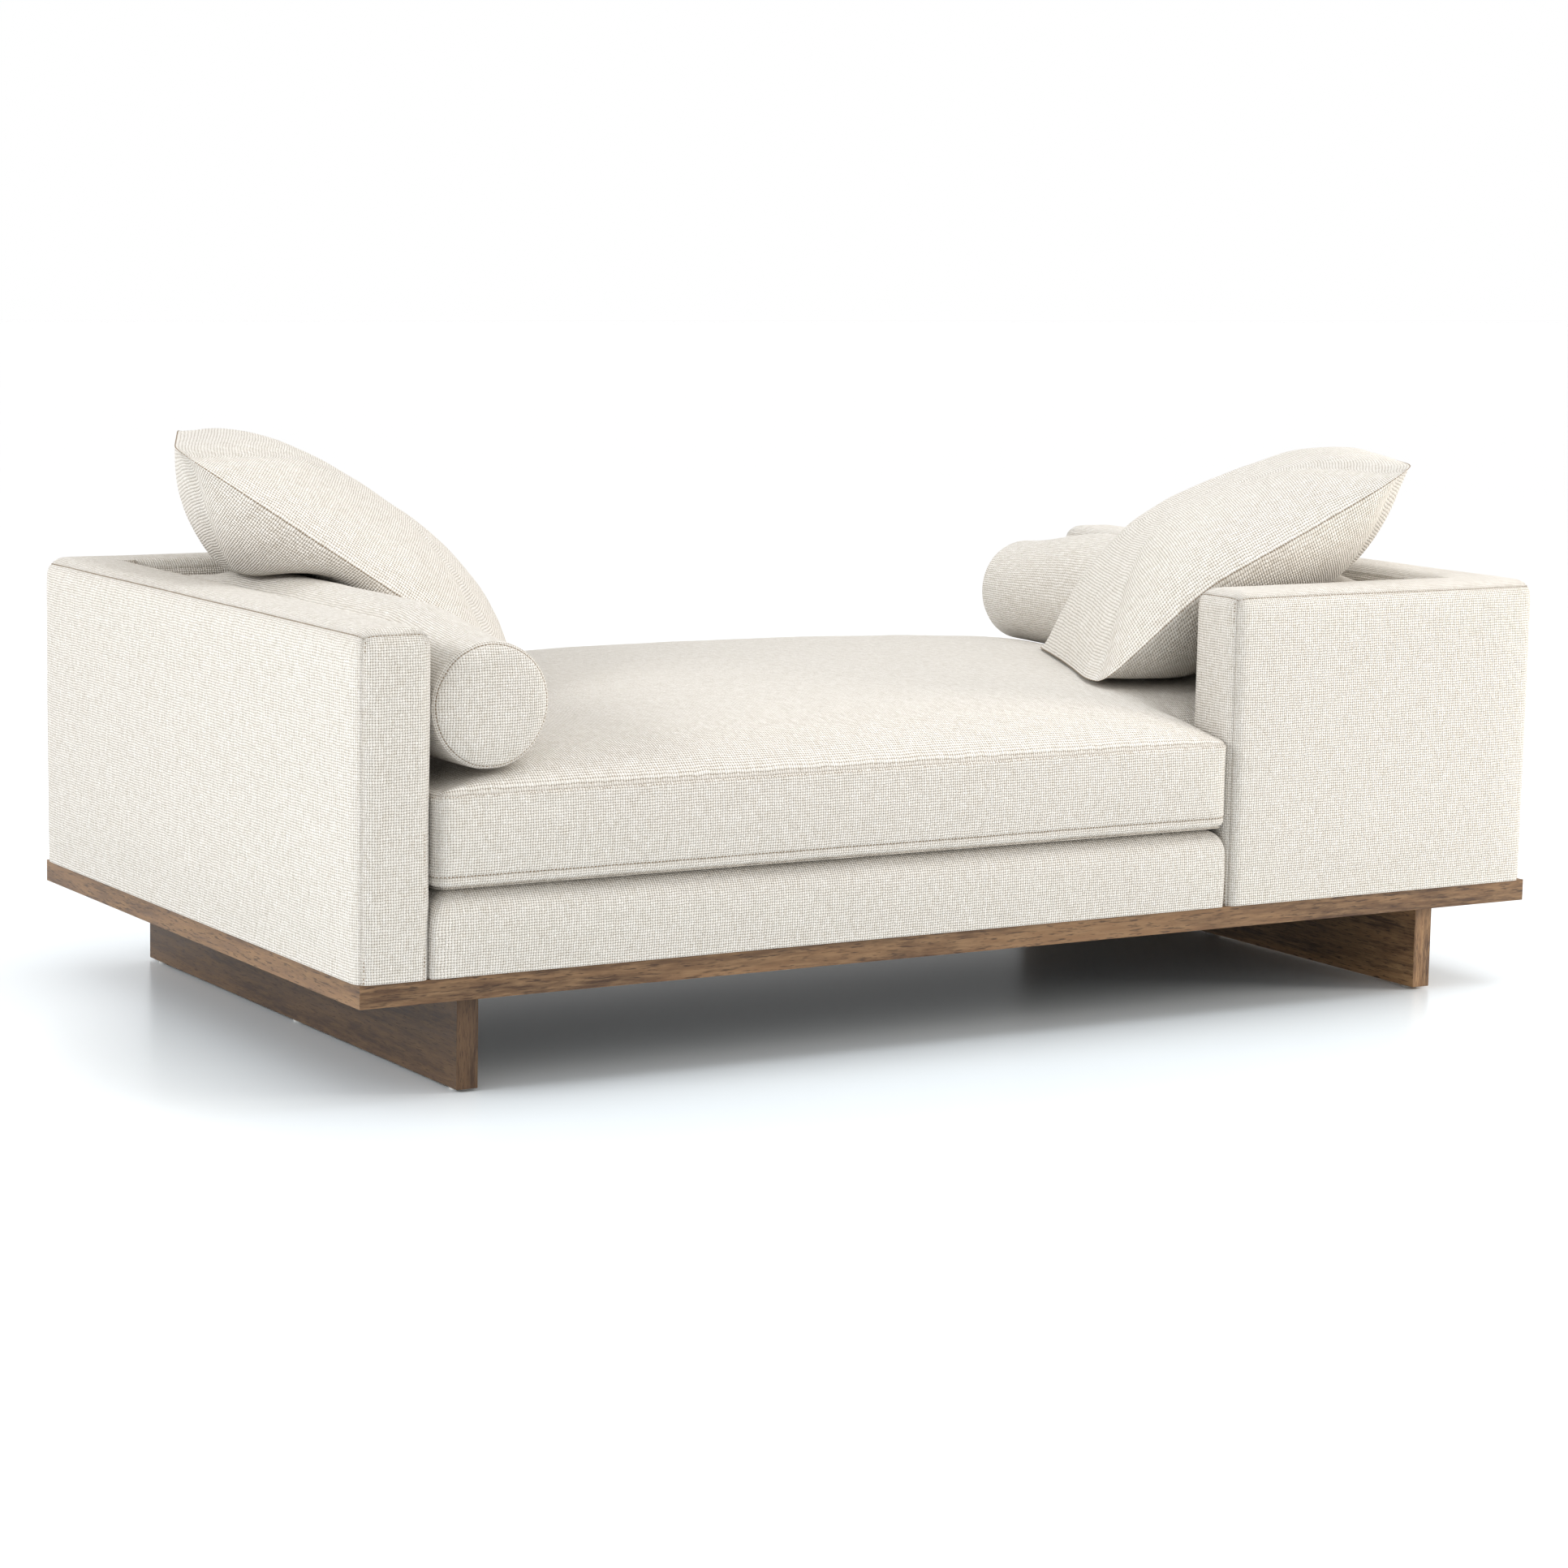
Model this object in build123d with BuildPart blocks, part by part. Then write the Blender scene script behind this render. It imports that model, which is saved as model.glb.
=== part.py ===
from build123d import *
import math
import os

# A double-ended daybed. X runs along its length, Y from front to back, Z up. The origin is on the
# floor under the middle. The whole frame looks the same after half a turn about Z, so most pieces
# are made once, at the left end or the front, and copied by that half turn.

# ---------------------------------------------------------------- driving dimensions, mm
LENGTH = 2120.0  # over the upholstery
WIDTH = 1197.0
UPHOLSTERY_PROUD = 5.0  # how far the covers stand out past the plinth
PLINTH_BOTTOM = 140.0
PLINTH_TOP = 174.0
PLINTH_RAIL_WIDTH = 70.0
LEG_THICKNESS = 34.0
LEG_FROM_PLINTH_END = 166.0
LEG_SETBACK = 31.0  # from the plinth's front and back
GLIDE_HEIGHT = 4.0
WALL_THICKNESS = 118.0
WALL_TOP = 668.0
RETURN_LENGTH = 620.0
DECK_TOP = 298.0
DECK_EDGE_RADIUS = 38.0
MATTRESS_BOTTOM = 300.0
MATTRESS_SEAM = 433.0
MATTRESS_CROWN = 521.0
BOLSTER_RADIUS = 93.0
BOLSTER_LENGTH = 1064.0
BOLSTER_HEIGHT = 554.0  # of its axis
PILLOW_SIDE = 616.0
PILLOW_THICKNESS = 205.0
PILLOW_SEAM = 8.0  # thickness of its edge
PILLOW_TRIM = 4.0  # taken off its width where the edge is rounded off
PILLOW_CORNER_RADIUS = 80.0

# ---------------------------------------------------------------- smaller sizes
COVER = 2.5  # thickness of the woven cover with its lining
FOAM = 12.5  # foam on the faces of the walls
TOP_FOAM = 21.5  # foam on the walls' top edges
TIMBER = 32.0  # thickness of the walls' rails and posts
DECK_RAIL_THICKNESS = 25.0
DECK_RAIL_TOP = 262.0
WEBBING_THICKNESS = 2.0
WEBBING_WIDTH = 60.0
LEG_BATTEN_WIDTH = 120.0
WALL_EDGE_RADIUS = 10.0
LEG_BLOCK = 45.0  # the short sides of the blocks in the plinth's corners
LEG_BLOCK_SETBACK = 2.0  # of those blocks above the plinth's underside
DECK_BLOCK = 60.0
DECK_CROSS_RAIL_X = 250.0
GLIDE_RADIUS = 13.0
GLIDE_FROM_LEG_END = 30.0
BREAK_EDGE = 1.0  # chamfer where hands or the floor meet the timber
SCREW_RADIUS = 3.0
SCREW_BITE = 45.0  # into the leg panel
SCREW_BORE_DEPTH = 6.0
SCREW_HEAD = 4.0
BOLT_RADIUS = 4.0
BOLT_BORE_RADIUS = 9.0
BOLT_BORE_DEPTH = 8.0
BOLT_HEAD = 7.0
HEAD_PLAY = 1.0  # round or behind the head of a screw or bolt
DUST_CLOTH = 1.5
DUST_CLOTH_LAP = 16.0  # over the plinth rails
DUST_CLOTH_PLAY = 4.0  # beside the leg panels
WRAP = 10.0  # round the mattress's core
CORE_TOP = 412.0
BOLSTER_EDGE_RADIUS = 8.0
HOLE_PLAY = 0.3  # on the radius of each hole for a screw or bolt
LOOSE = 2.0  # room round each loose cushion
TOUCH = 0.4  # room where a loose cushion rests on a curved face

# ---------------------------------------------------------------- derived
HALF_LENGTH = LENGTH / 2
HALF_WIDTH = WIDTH / 2
PLINTH_X = HALF_LENGTH - UPHOLSTERY_PROUD
PLINTH_Y = HALF_WIDTH - UPHOLSTERY_PROUD
WALL_INNER_X = HALF_LENGTH - WALL_THICKNESS
RETURN_END_X = HALF_LENGTH - RETURN_LENGTH
RETURN_INNER_Y = HALF_WIDTH - WALL_THICKNESS
SKIN = COVER + FOAM
FRAME_TOP = WALL_TOP - COVER - TOP_FOAM
LEG_CENTRE_X = PLINTH_X - LEG_FROM_PLINTH_END - LEG_THICKNESS / 2
LEG_HALF_LENGTH = PLINTH_Y - LEG_SETBACK
BOLSTER_X = -(WALL_INNER_X - LOOSE - BOLSTER_RADIUS)
BOLSTER_FRONT = -(HALF_WIDTH - 8.5)
PAD_BOTTOM = DECK_RAIL_TOP + 2 * WEBBING_THICKNESS
BOLT_Z = PLINTH_TOP + TIMBER / 2
BOLT_Y = [-450.0, -150.0, 150.0, 420.0]
SCREW_Y = [-450.0, -270.0, -90.0, 90.0, 270.0, 450.0]

os.makedirs("parts", exist_ok=True)


def save(piece, name):
    """Label one piece and write its STEP file."""
    piece.label = name
    export_step(piece, f"parts/{name}.step")


def half_turn(piece):
    """The same piece at the other end or on the other side."""
    with BuildPart() as turned:
        add(piece, rotation=(0, 0, 180))
    return turned.part


def save_pair(piece, name, turned_name):
    """Write a piece and its copy half a turn round."""
    save(piece, name)
    save(half_turn(piece), turned_name)


def block(x, y, z, mode=Mode.ADD):
    """A box in the current part between (low, high) pairs along each axis."""
    middle = ((x[0] + x[1]) / 2, (y[0] + y[1]) / 2, (z[0] + z[1]) / 2)
    with Locations(middle):
        Box(x[1] - x[0], y[1] - y[0], z[1] - z[0], mode=mode)


def z_plan(level, open_inset=0.0, wall_inset=0.0):
    """The Z-shaped plan between the two L-shaped walls, as a face at one level.

    open_inset moves the free front and back sides in, wall_inset the sides along the walls.
    """
    front = -(HALF_WIDTH - open_inset)
    step = -(RETURN_INNER_Y - wall_inset)
    end = WALL_INNER_X - wall_inset
    notch = RETURN_END_X - wall_inset
    half = [(-end, front), (notch, front), (notch, step), (end, step)]
    with BuildSketch(Plane.XY.offset(level)) as plan:
        with BuildLine():
            Polyline(half + [(-x, -y) for x, y in half], close=True)
        make_face()
    return plan.sketch


# ---------------------------------------------------------------- plinth and legs
def plinth_rail(half_run, half_across):
    """A mitred flat rail along X at the front; the side rails are the same, turned."""
    inner = half_run - PLINTH_RAIL_WIDTH
    with BuildPart() as rail:
        with BuildSketch(Plane.XY.offset(PLINTH_BOTTOM)):
            with BuildLine():
                Polyline(
                    (-half_run, -half_across),
                    (half_run, -half_across),
                    (inner, -half_across + PLINTH_RAIL_WIDTH),
                    (-inner, -half_across + PLINTH_RAIL_WIDTH),
                    close=True,
                )
            make_face()
        extrude(amount=PLINTH_TOP - PLINTH_BOTTOM)
    return rail.part


def plinth():
    save_pair(plinth_rail(PLINTH_X, PLINTH_Y), "plinth_rail_front", "plinth_rail_back")

    with BuildPart() as side:
        add(plinth_rail(PLINTH_Y, PLINTH_X), rotation=(0, 0, -90))
    save_pair(side.part, "plinth_rail_left", "plinth_rail_right")

    corner_x = PLINTH_X - PLINTH_RAIL_WIDTH
    corner_y = PLINTH_Y - PLINTH_RAIL_WIDTH
    with BuildPart() as corner_blocks:
        with BuildSketch(Plane.XY.offset(PLINTH_BOTTOM + LEG_BLOCK_SETBACK)):
            for sx, sy in ((1, 1), (1, -1), (-1, 1), (-1, -1)):
                with BuildLine():
                    Polyline(
                        (sx * corner_x, sy * corner_y),
                        (sx * (corner_x - LEG_BLOCK), sy * corner_y),
                        (sx * corner_x, sy * (corner_y - LEG_BLOCK)),
                        close=True,
                    )
                make_face()
        extrude(amount=PLINTH_TOP - PLINTH_BOTTOM - LEG_BLOCK_SETBACK)
    save(corner_blocks.part, "plinth_corner_blocks")


def screw_axes():
    """The places of the screws down through the left leg batten."""
    return [(-LEG_CENTRE_X, y) for y in SCREW_Y]


def legs():
    batten_y = PLINTH_Y - PLINTH_RAIL_WIDTH
    head_radius = 2 * SCREW_RADIUS
    with BuildPart() as batten:
        block(
            (-LEG_CENTRE_X - LEG_BATTEN_WIDTH / 2, -LEG_CENTRE_X + LEG_BATTEN_WIDTH / 2),
            (-batten_y, batten_y),
            (PLINTH_BOTTOM, PLINTH_TOP),
        )
        with Locations(*[(x, y, PLINTH_TOP) for x, y in screw_axes()]):
            CounterBoreHole(
                radius=SCREW_RADIUS + HOLE_PLAY,
                counter_bore_radius=head_radius + HEAD_PLAY,
                counter_bore_depth=SCREW_BORE_DEPTH,
                depth=PLINTH_TOP - PLINTH_BOTTOM,
            )
    save_pair(batten.part, "leg_batten_left", "leg_batten_right")

    screw_bottom = PLINTH_BOTTOM - SCREW_BITE
    with BuildPart() as panel:
        block(
            (-LEG_CENTRE_X - LEG_THICKNESS / 2, -LEG_CENTRE_X + LEG_THICKNESS / 2),
            (-LEG_HALF_LENGTH, LEG_HALF_LENGTH),
            (GLIDE_HEIGHT, PLINTH_BOTTOM),
        )
        chamfer(panel.edges().filter_by(Axis.Z), length=BREAK_EDGE)
        chamfer(panel.edges().group_by(Axis.Z)[0], length=BREAK_EDGE)
        with Locations(*[(x, y, PLINTH_BOTTOM) for x, y in screw_axes()]):
            Hole(radius=SCREW_RADIUS + HOLE_PLAY, depth=SCREW_BITE + 2)
    save_pair(panel.part, "leg_panel_left", "leg_panel_right")

    head_bottom = PLINTH_TOP - SCREW_BORE_DEPTH
    with BuildPart() as screws:
        with BuildSketch(Plane.XY.offset(screw_bottom)):
            with Locations(*screw_axes(), *[(-x, -y) for x, y in screw_axes()]):
                Circle(SCREW_RADIUS)
        extrude(amount=head_bottom - screw_bottom)
        with BuildSketch(Plane.XY.offset(head_bottom)):
            with Locations(*screw_axes(), *[(-x, -y) for x, y in screw_axes()]):
                Circle(head_radius)
        extrude(amount=SCREW_HEAD)
    save(screws.part, "leg_screws")

    glide_y = LEG_HALF_LENGTH - GLIDE_FROM_LEG_END
    with BuildPart() as glides:
        with BuildSketch():
            with GridLocations(2 * LEG_CENTRE_X, glide_y, 2, 3):
                Circle(GLIDE_RADIUS)
        extrude(amount=GLIDE_HEIGHT)
        chamfer(glides.edges().group_by(Axis.Z)[0], length=BREAK_EDGE)
    save(glides.part, "floor_glides")


def dust_cover():
    """Black cloth stapled under the plinth, in three sheets between and outside the leg panels."""
    leg_inner = LEG_CENTRE_X - LEG_THICKNESS / 2 - DUST_CLOTH_PLAY
    leg_outer = LEG_CENTRE_X + LEG_THICKNESS / 2 + DUST_CLOTH_PLAY
    sheet_y = PLINTH_Y - PLINTH_RAIL_WIDTH + DUST_CLOTH_LAP
    sheet_x = PLINTH_X - PLINTH_RAIL_WIDTH + DUST_CLOTH_LAP
    level = (PLINTH_BOTTOM - DUST_CLOTH, PLINTH_BOTTOM)
    with BuildPart() as cloth:
        block((-leg_inner, leg_inner), (-sheet_y, sheet_y), level)
        block((leg_outer, sheet_x), (-sheet_y, sheet_y), level)
        block((-sheet_x, -leg_outer), (-sheet_y, sheet_y), level)
    save(cloth.part, "dust_cover")


# ---------------------------------------------------------------- deck
def bolt_holes(radius, mode=Mode.SUBTRACT, start=-HALF_LENGTH, end=-WALL_INNER_X + DECK_RAIL_THICKNESS):
    """The left wall's bolts, or the holes for them, along X in the current part."""
    with BuildSketch(Plane.YZ.offset(start)) as rounds:
        with Locations(*[(y, BOLT_Z) for y in BOLT_Y]):
            Circle(radius)
    extrude(rounds.sketch, amount=end - start, mode=mode)


def deck_frame():
    """Eight rails round the Z, three cross rails, and corner blocks."""
    t = DECK_RAIL_THICKNESS
    level = (PLINTH_TOP, DECK_RAIL_TOP)
    front = -(HALF_WIDTH - SKIN)
    step = RETURN_INNER_Y
    with BuildPart() as front_rail:
        block((-WALL_INNER_X, RETURN_END_X), (front, front + t), level)
    save_pair(front_rail.part, "deck_rail_front", "deck_rail_back")

    with BuildPart() as end_rail:
        block((-WALL_INNER_X, -WALL_INNER_X + t), (front + t, step), level)
        bolt_holes(BOLT_RADIUS + HOLE_PLAY)
    save_pair(end_rail.part, "deck_rail_left", "deck_rail_right")

    with BuildPart() as jog_rail:
        block((RETURN_END_X - t, RETURN_END_X), (front + t, -step + t), level)
    save_pair(jog_rail.part, "deck_jog_rail_front", "deck_jog_rail_back")

    with BuildPart() as step_rail:
        block((RETURN_END_X, WALL_INNER_X - t), (-step, -step + t), level)
    save_pair(step_rail.part, "deck_step_rail_right", "deck_step_rail_left")

    with BuildPart() as cross_rails:
        for x in (-DECK_CROSS_RAIL_X, 0, DECK_CROSS_RAIL_X):
            block((x - t / 2, x + t / 2), (front + t, -front - t), level)
    save(cross_rails.part, "deck_cross_rails")

    inner_x = WALL_INNER_X - t
    near_y = HALF_WIDTH - SKIN - t
    far_y = step - t
    corners = [(-inner_x, -near_y, 1, 1), (inner_x, -far_y, -1, 1)]
    corners += [(inner_x, near_y, -1, -1), (-inner_x, far_y, 1, -1)]
    with BuildPart() as corner_blocks:
        with BuildSketch(Plane.XY.offset(PLINTH_TOP)):
            for x, y, sx, sy in corners:
                with BuildLine():
                    Polyline((x, y), (x + sx * DECK_BLOCK, y), (x, y + sy * DECK_BLOCK), close=True)
                make_face()
        extrude(amount=DECK_RAIL_TOP - PLINTH_TOP)
    save(corner_blocks.part, "deck_corner_blocks")


def webbing():
    """Elastic straps: one layer across the deck, one along it on top."""
    edge = 8.0
    near = HALF_WIDTH - SKIN - edge
    far = RETURN_INNER_Y - edge
    low = (DECK_RAIL_TOP, DECK_RAIL_TOP + WEBBING_THICKNESS)
    high = (low[1], low[1] + WEBBING_THICKNESS)
    half = WEBBING_WIDTH / 2
    pitch = 110.0
    with BuildPart() as across:
        for i in range(-8, 9):
            x = i * pitch
            front = -far if x + half > RETURN_END_X else -near
            back = far if x - half < -RETURN_END_X else near
            block((x - half, x + half), (front, back), low)
    save(across.part, "webbing_across")

    with BuildPart() as along:
        for i in range(-4, 5):
            block((-WALL_INNER_X + edge, WALL_INNER_X - edge), (i * pitch - half, i * pitch + half), high)
    save(along.part, "webbing_along")


def deck_body(inset):
    """The upholstered deck's outside, or the same moved in from its free faces, as one solid."""
    with BuildPart() as body:
        extrude(z_plan(PLINTH_TOP, open_inset=inset), amount=DECK_TOP - inset - PLINTH_TOP)
        top = body.edges().group_by(Axis.Z)[-1].filter_by(Axis.X)
        outer = top.group_by(Axis.Y)
        fillet(outer[0] + outer[-1], radius=DECK_EDGE_RADIUS - inset)
    return body.part


def deck_upholstery():
    with BuildPart() as pad:
        add(deck_body(COVER))
        extrude(z_plan(PLINTH_TOP, open_inset=SKIN), amount=PAD_BOTTOM - PLINTH_TOP, mode=Mode.SUBTRACT)
    save(pad.part, "deck_pad")

    with BuildPart() as cover:
        add(deck_body(0))
        add(deck_body(COVER), mode=Mode.SUBTRACT)
    save(cover.part, "deck_cover")


# ---------------------------------------------------------------- end walls with their returns
END_FRAME_X = (-HALF_LENGTH + SKIN, -WALL_INNER_X - SKIN)
END_FRAME_Y = (-HALF_WIDTH + SKIN, HALF_WIDTH - SKIN)
RETURN_FRAME_X = (END_FRAME_X[1], -RETURN_END_X - SKIN)
RETURN_FRAME_Y = (RETURN_INNER_Y + SKIN, HALF_WIDTH - SKIN)
BOTTOM_RAIL_Z = (PLINTH_TOP, PLINTH_TOP + TIMBER)
POST_Z = (PLINTH_TOP + TIMBER, FRAME_TOP - TIMBER)
TOP_RAIL_Z = (FRAME_TOP - TIMBER, FRAME_TOP)


def spread(low, high, count):
    """Starts of count timbers spread evenly from low to high, the last one ending at high."""
    return [low + i * (high - TIMBER - low) / (count - 1) for i in range(count)]


def end_frame():
    with BuildPart() as bottom:
        block(END_FRAME_X, END_FRAME_Y, BOTTOM_RAIL_Z)
        bolt_holes(BOLT_RADIUS + HOLE_PLAY)
        bolt_holes(BOLT_BORE_RADIUS, start=END_FRAME_X[0], end=END_FRAME_X[0] + BOLT_BORE_DEPTH)
    save_pair(bottom.part, "left_end_bottom_rail", "right_end_bottom_rail")

    with BuildPart() as top:
        block(END_FRAME_X, END_FRAME_Y, TOP_RAIL_Z)
    save_pair(top.part, "left_end_top_rail", "right_end_top_rail")

    with BuildPart() as posts:
        for y in spread(*END_FRAME_Y, 5):
            block(END_FRAME_X, (y, y + TIMBER), POST_Z)
    save_pair(posts.part, "left_end_posts", "right_end_posts")


def return_frame():
    with BuildPart() as bottom:
        block(RETURN_FRAME_X, RETURN_FRAME_Y, BOTTOM_RAIL_Z)
    save_pair(bottom.part, "left_return_bottom_rail", "right_return_bottom_rail")

    with BuildPart() as top:
        block(RETURN_FRAME_X, RETURN_FRAME_Y, TOP_RAIL_Z)
    save_pair(top.part, "left_return_top_rail", "right_return_top_rail")

    with BuildPart() as posts:
        for x in spread(*RETURN_FRAME_X, 3):
            block((x, x + TIMBER), RETURN_FRAME_Y, POST_Z)
    save_pair(posts.part, "left_return_posts", "right_return_posts")


def wall_padding():
    """Foam round each frame, open underneath: one piece for the end part, one for the return."""
    level = (PLINTH_TOP, WALL_TOP - COVER)
    frame_level = (PLINTH_TOP, FRAME_TOP)
    inner_x = -WALL_INNER_X - COVER
    with BuildPart() as end_pad:
        block((-HALF_LENGTH + COVER, inner_x), (-HALF_WIDTH + COVER, HALF_WIDTH - COVER), level)
        fillet(end_pad.edges().group_by(Axis.Z)[-1], radius=WALL_EDGE_RADIUS - COVER)
        block(END_FRAME_X, END_FRAME_Y, frame_level, mode=Mode.SUBTRACT)
        block((END_FRAME_X[1], inner_x), RETURN_FRAME_Y, frame_level, mode=Mode.SUBTRACT)
        bolt_holes(BOLT_RADIUS + HOLE_PLAY, start=END_FRAME_X[1])
    save_pair(end_pad.part, "left_end_padding", "right_end_padding")

    with BuildPart() as return_pad:
        block((inner_x, -RETURN_END_X - COVER), (RETURN_INNER_Y + COVER, HALF_WIDTH - COVER), level)
        top = return_pad.edges().group_by(Axis.Z)[-1]
        fillet(top - top.group_by(Axis.X)[0], radius=WALL_EDGE_RADIUS - COVER)
        block(RETURN_FRAME_X, RETURN_FRAME_Y, frame_level, mode=Mode.SUBTRACT)
    save_pair(return_pad.part, "left_return_padding", "right_return_padding")


def wall_body(inset):
    """The outside of the left L-shaped wall, or the same moved in on every side but the bottom."""
    x = (-HALF_LENGTH + inset, -WALL_INNER_X - inset)
    y = (-HALF_WIDTH + inset, HALF_WIDTH - inset)
    level = (PLINTH_TOP, WALL_TOP - inset)
    with BuildPart() as body:
        block(x, y, level)
        block((x[1], -RETURN_END_X - inset), (RETURN_INNER_Y + inset, y[1]), level)
        fillet(body.edges().group_by(Axis.Z)[-1], radius=WALL_EDGE_RADIUS - inset)
    return body.part


def wall_cover():
    with BuildPart() as cover:
        add(wall_body(0))
        add(wall_body(COVER), mode=Mode.SUBTRACT)
        bolt_holes(BOLT_RADIUS + HOLE_PLAY, start=END_FRAME_X[1])
    save_pair(cover.part, "left_wall_cover", "right_wall_cover")


def wall_bolts():
    seat = END_FRAME_X[0] + BOLT_BORE_DEPTH
    with BuildPart() as bolts:
        bolt_holes(BOLT_RADIUS, mode=Mode.ADD, start=seat - HEAD_PLAY)
        bolt_holes(2 * BOLT_RADIUS, mode=Mode.ADD, start=seat - BOLT_HEAD, end=seat)
    save_pair(bolts.part, "left_wall_bolts", "right_wall_bolts")


# ---------------------------------------------------------------- mattress
def crown_profile(plane, half_run, points, inset):
    """A closed side view: flat bottom, upright ends, and a smooth crown through the points.

    points are (part of half_run from the middle, height) from the end to the middle.
    """
    rise = [(-part * half_run, height - inset) for part, height in points]
    top = rise + [(-x, z) for x, z in reversed(rise[:-1])]
    with BuildSketch(plane) as profile:
        with BuildLine():
            Spline(*top)
            Polyline(top[0], (-half_run, 0), (half_run, 0), top[-1])
        make_face()
    return profile.sketch


LONG_CROWN = [(1, 430), (0.9, 456), (0.785, 474), (0.637, 493), (0.318, 515), (0, MATTRESS_CROWN)]
CROSS_CROWN = [(1, MATTRESS_SEAM), (0.96, 462), (0.89, 484), (0.67, 509), (0.33, 519), (0, MATTRESS_CROWN)]


def mattress_body(inset, bottom=MATTRESS_BOTTOM):
    """The Z-shaped crowned cushion, or the same moved in by inset on its top and sides."""
    with BuildPart() as body:
        extrude(z_plan(bottom, LOOSE + inset, LOOSE + inset), amount=MATTRESS_CROWN)
        long_view = crown_profile(Plane.XZ, WALL_INNER_X, LONG_CROWN, inset)
        extrude(long_view, amount=HALF_WIDTH, both=True, mode=Mode.INTERSECT)
        cross_view = crown_profile(Plane.YZ, HALF_WIDTH, CROSS_CROWN, inset)
        extrude(cross_view, amount=HALF_LENGTH, both=True, mode=Mode.INTERSECT)
    return body.part


def mattress():
    core_inset = COVER + WRAP
    with BuildPart() as core:
        bottom = MATTRESS_BOTTOM + COVER
        extrude(z_plan(bottom, LOOSE + core_inset, LOOSE + core_inset), amount=CORE_TOP - bottom)
    save(core.part, "mattress_core")

    with BuildPart() as wrap:
        add(mattress_body(COVER, bottom=MATTRESS_BOTTOM + COVER))
        add(core.part, mode=Mode.SUBTRACT)
    save(wrap.part, "mattress_wrap")

    with BuildPart() as cover:
        add(mattress_body(0))
        add(mattress_body(COVER, bottom=MATTRESS_BOTTOM + COVER), mode=Mode.SUBTRACT)
    save(cover.part, "mattress_cover")


# ---------------------------------------------------------------- bolsters
def bolster_body(inset):
    """A round bolster along the left wall's inner face."""
    with BuildPart() as body:
        with BuildSketch(Plane.XZ.offset(-BOLSTER_FRONT - inset)):
            with Locations((BOLSTER_X, BOLSTER_HEIGHT)):
                Circle(BOLSTER_RADIUS - inset)
        extrude(amount=-(BOLSTER_LENGTH - 2 * inset))
        fillet(body.edges(), radius=BOLSTER_EDGE_RADIUS - inset)
    return body.part


def bolsters():
    core = bolster_body(COVER)
    save_pair(core, "left_bolster_core", "right_bolster_core")
    with BuildPart() as cover:
        add(bolster_body(0))
        add(core, mode=Mode.SUBTRACT)
    save_pair(cover.part, "left_bolster_cover", "right_bolster_cover")


# ---------------------------------------------------------------- pillows
PILLOW_REST = Vector(-600, 0, 495)  # a point of the plane just above the mattress's crown at a pillow
PILLOW_REST_NORMAL = Vector(-0.1, 0, 1).normalized()
EDGE_INSET = 1.8  # how much more the thin edge moves in than the faces, as a share of the inset


def lens(plane, half_side, half_thickness):
    """A flat oval on the plane, long along its X, with narrow blunt ends as wide as a seam."""
    end = PILLOW_SEAM / 2
    with BuildSketch(plane) as oval:
        with BuildLine():
            ThreePointArc((-half_side, end), (0, half_thickness), (half_side, end))
            Line((half_side, end), (half_side, -end))
            ThreePointArc((half_side, -end), (0, -half_thickness), (-half_side, -end))
            Line((-half_side, -end), (-half_side, end))
        make_face()
    return oval.sketch


def pillow_body(centre, turn, lean, inset):
    """A square knife-edge pillow leaning in the left corner, moved in by inset all over.

    turn is its lower edge's direction from X, and lean its slope from level, in degrees. What it
    leans on is pressed into it: the bolster, the wall, and all that is below them. Its lower edge
    is flat where it rests on the mattress, on a plane just above the crown's slope.
    """
    a = math.radians(turn)
    b = math.radians(lean)
    edge = Vector(math.cos(a), math.sin(a), 0)
    slope = Vector(-math.sin(a) * math.cos(b), math.cos(a) * math.cos(b), math.sin(b))
    face = Plane(origin=centre, x_dir=edge, z_dir=edge.cross(slope))
    half = PILLOW_SIDE / 2 - EDGE_INSET * inset
    bulge = PILLOW_THICKNESS / 2 - inset
    gap = TOUCH + inset
    with BuildPart() as body:
        across = lens(Plane(origin=centre, x_dir=edge, z_dir=slope), half, bulge)
        extrude(across, amount=half, both=True)
        upward = lens(Plane(origin=centre, x_dir=slope, z_dir=edge), half, bulge)
        extrude(upward, amount=half, both=True, mode=Mode.INTERSECT)
        with BuildSketch(face):
            RectangleRounded(2 * half - PILLOW_TRIM, 2 * half - PILLOW_TRIM, PILLOW_CORNER_RADIUS)
        extrude(amount=2 * bulge, both=True, mode=Mode.INTERSECT)
        with BuildSketch(Plane.XZ.offset(-BOLSTER_FRONT + gap)):
            with Locations((BOLSTER_X, BOLSTER_HEIGHT)):
                Circle(BOLSTER_RADIUS + gap)
            with Locations((BOLSTER_X, BOLSTER_HEIGHT / 2)):
                Rectangle(2 * (BOLSTER_RADIUS + gap), BOLSTER_HEIGHT)
        extrude(amount=-(BOLSTER_LENGTH + 2 * gap), mode=Mode.SUBTRACT)
        walls = (0, WALL_TOP + gap)
        block((-HALF_LENGTH, -WALL_INNER_X + gap), (-HALF_WIDTH, HALF_WIDTH), walls, Mode.SUBTRACT)
        block((-HALF_LENGTH, -RETURN_END_X + gap), (RETURN_INNER_Y - gap, HALF_WIDTH), walls, Mode.SUBTRACT)
        rest = Plane(origin=PILLOW_REST + Vector(0, 0, gap), z_dir=PILLOW_REST_NORMAL)
        split(bisect_by=rest, keep=Keep.TOP)
    return body.part


def pillow(centre, turn, lean):
    """Fill and cover of one pillow, as a pair of solids."""
    fill = pillow_body(centre, turn, lean, COVER)
    with BuildPart() as cover:
        add(pillow_body(centre, turn, lean, 0))
        add(fill, mode=Mode.SUBTRACT)
    return fill, cover.part


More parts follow.
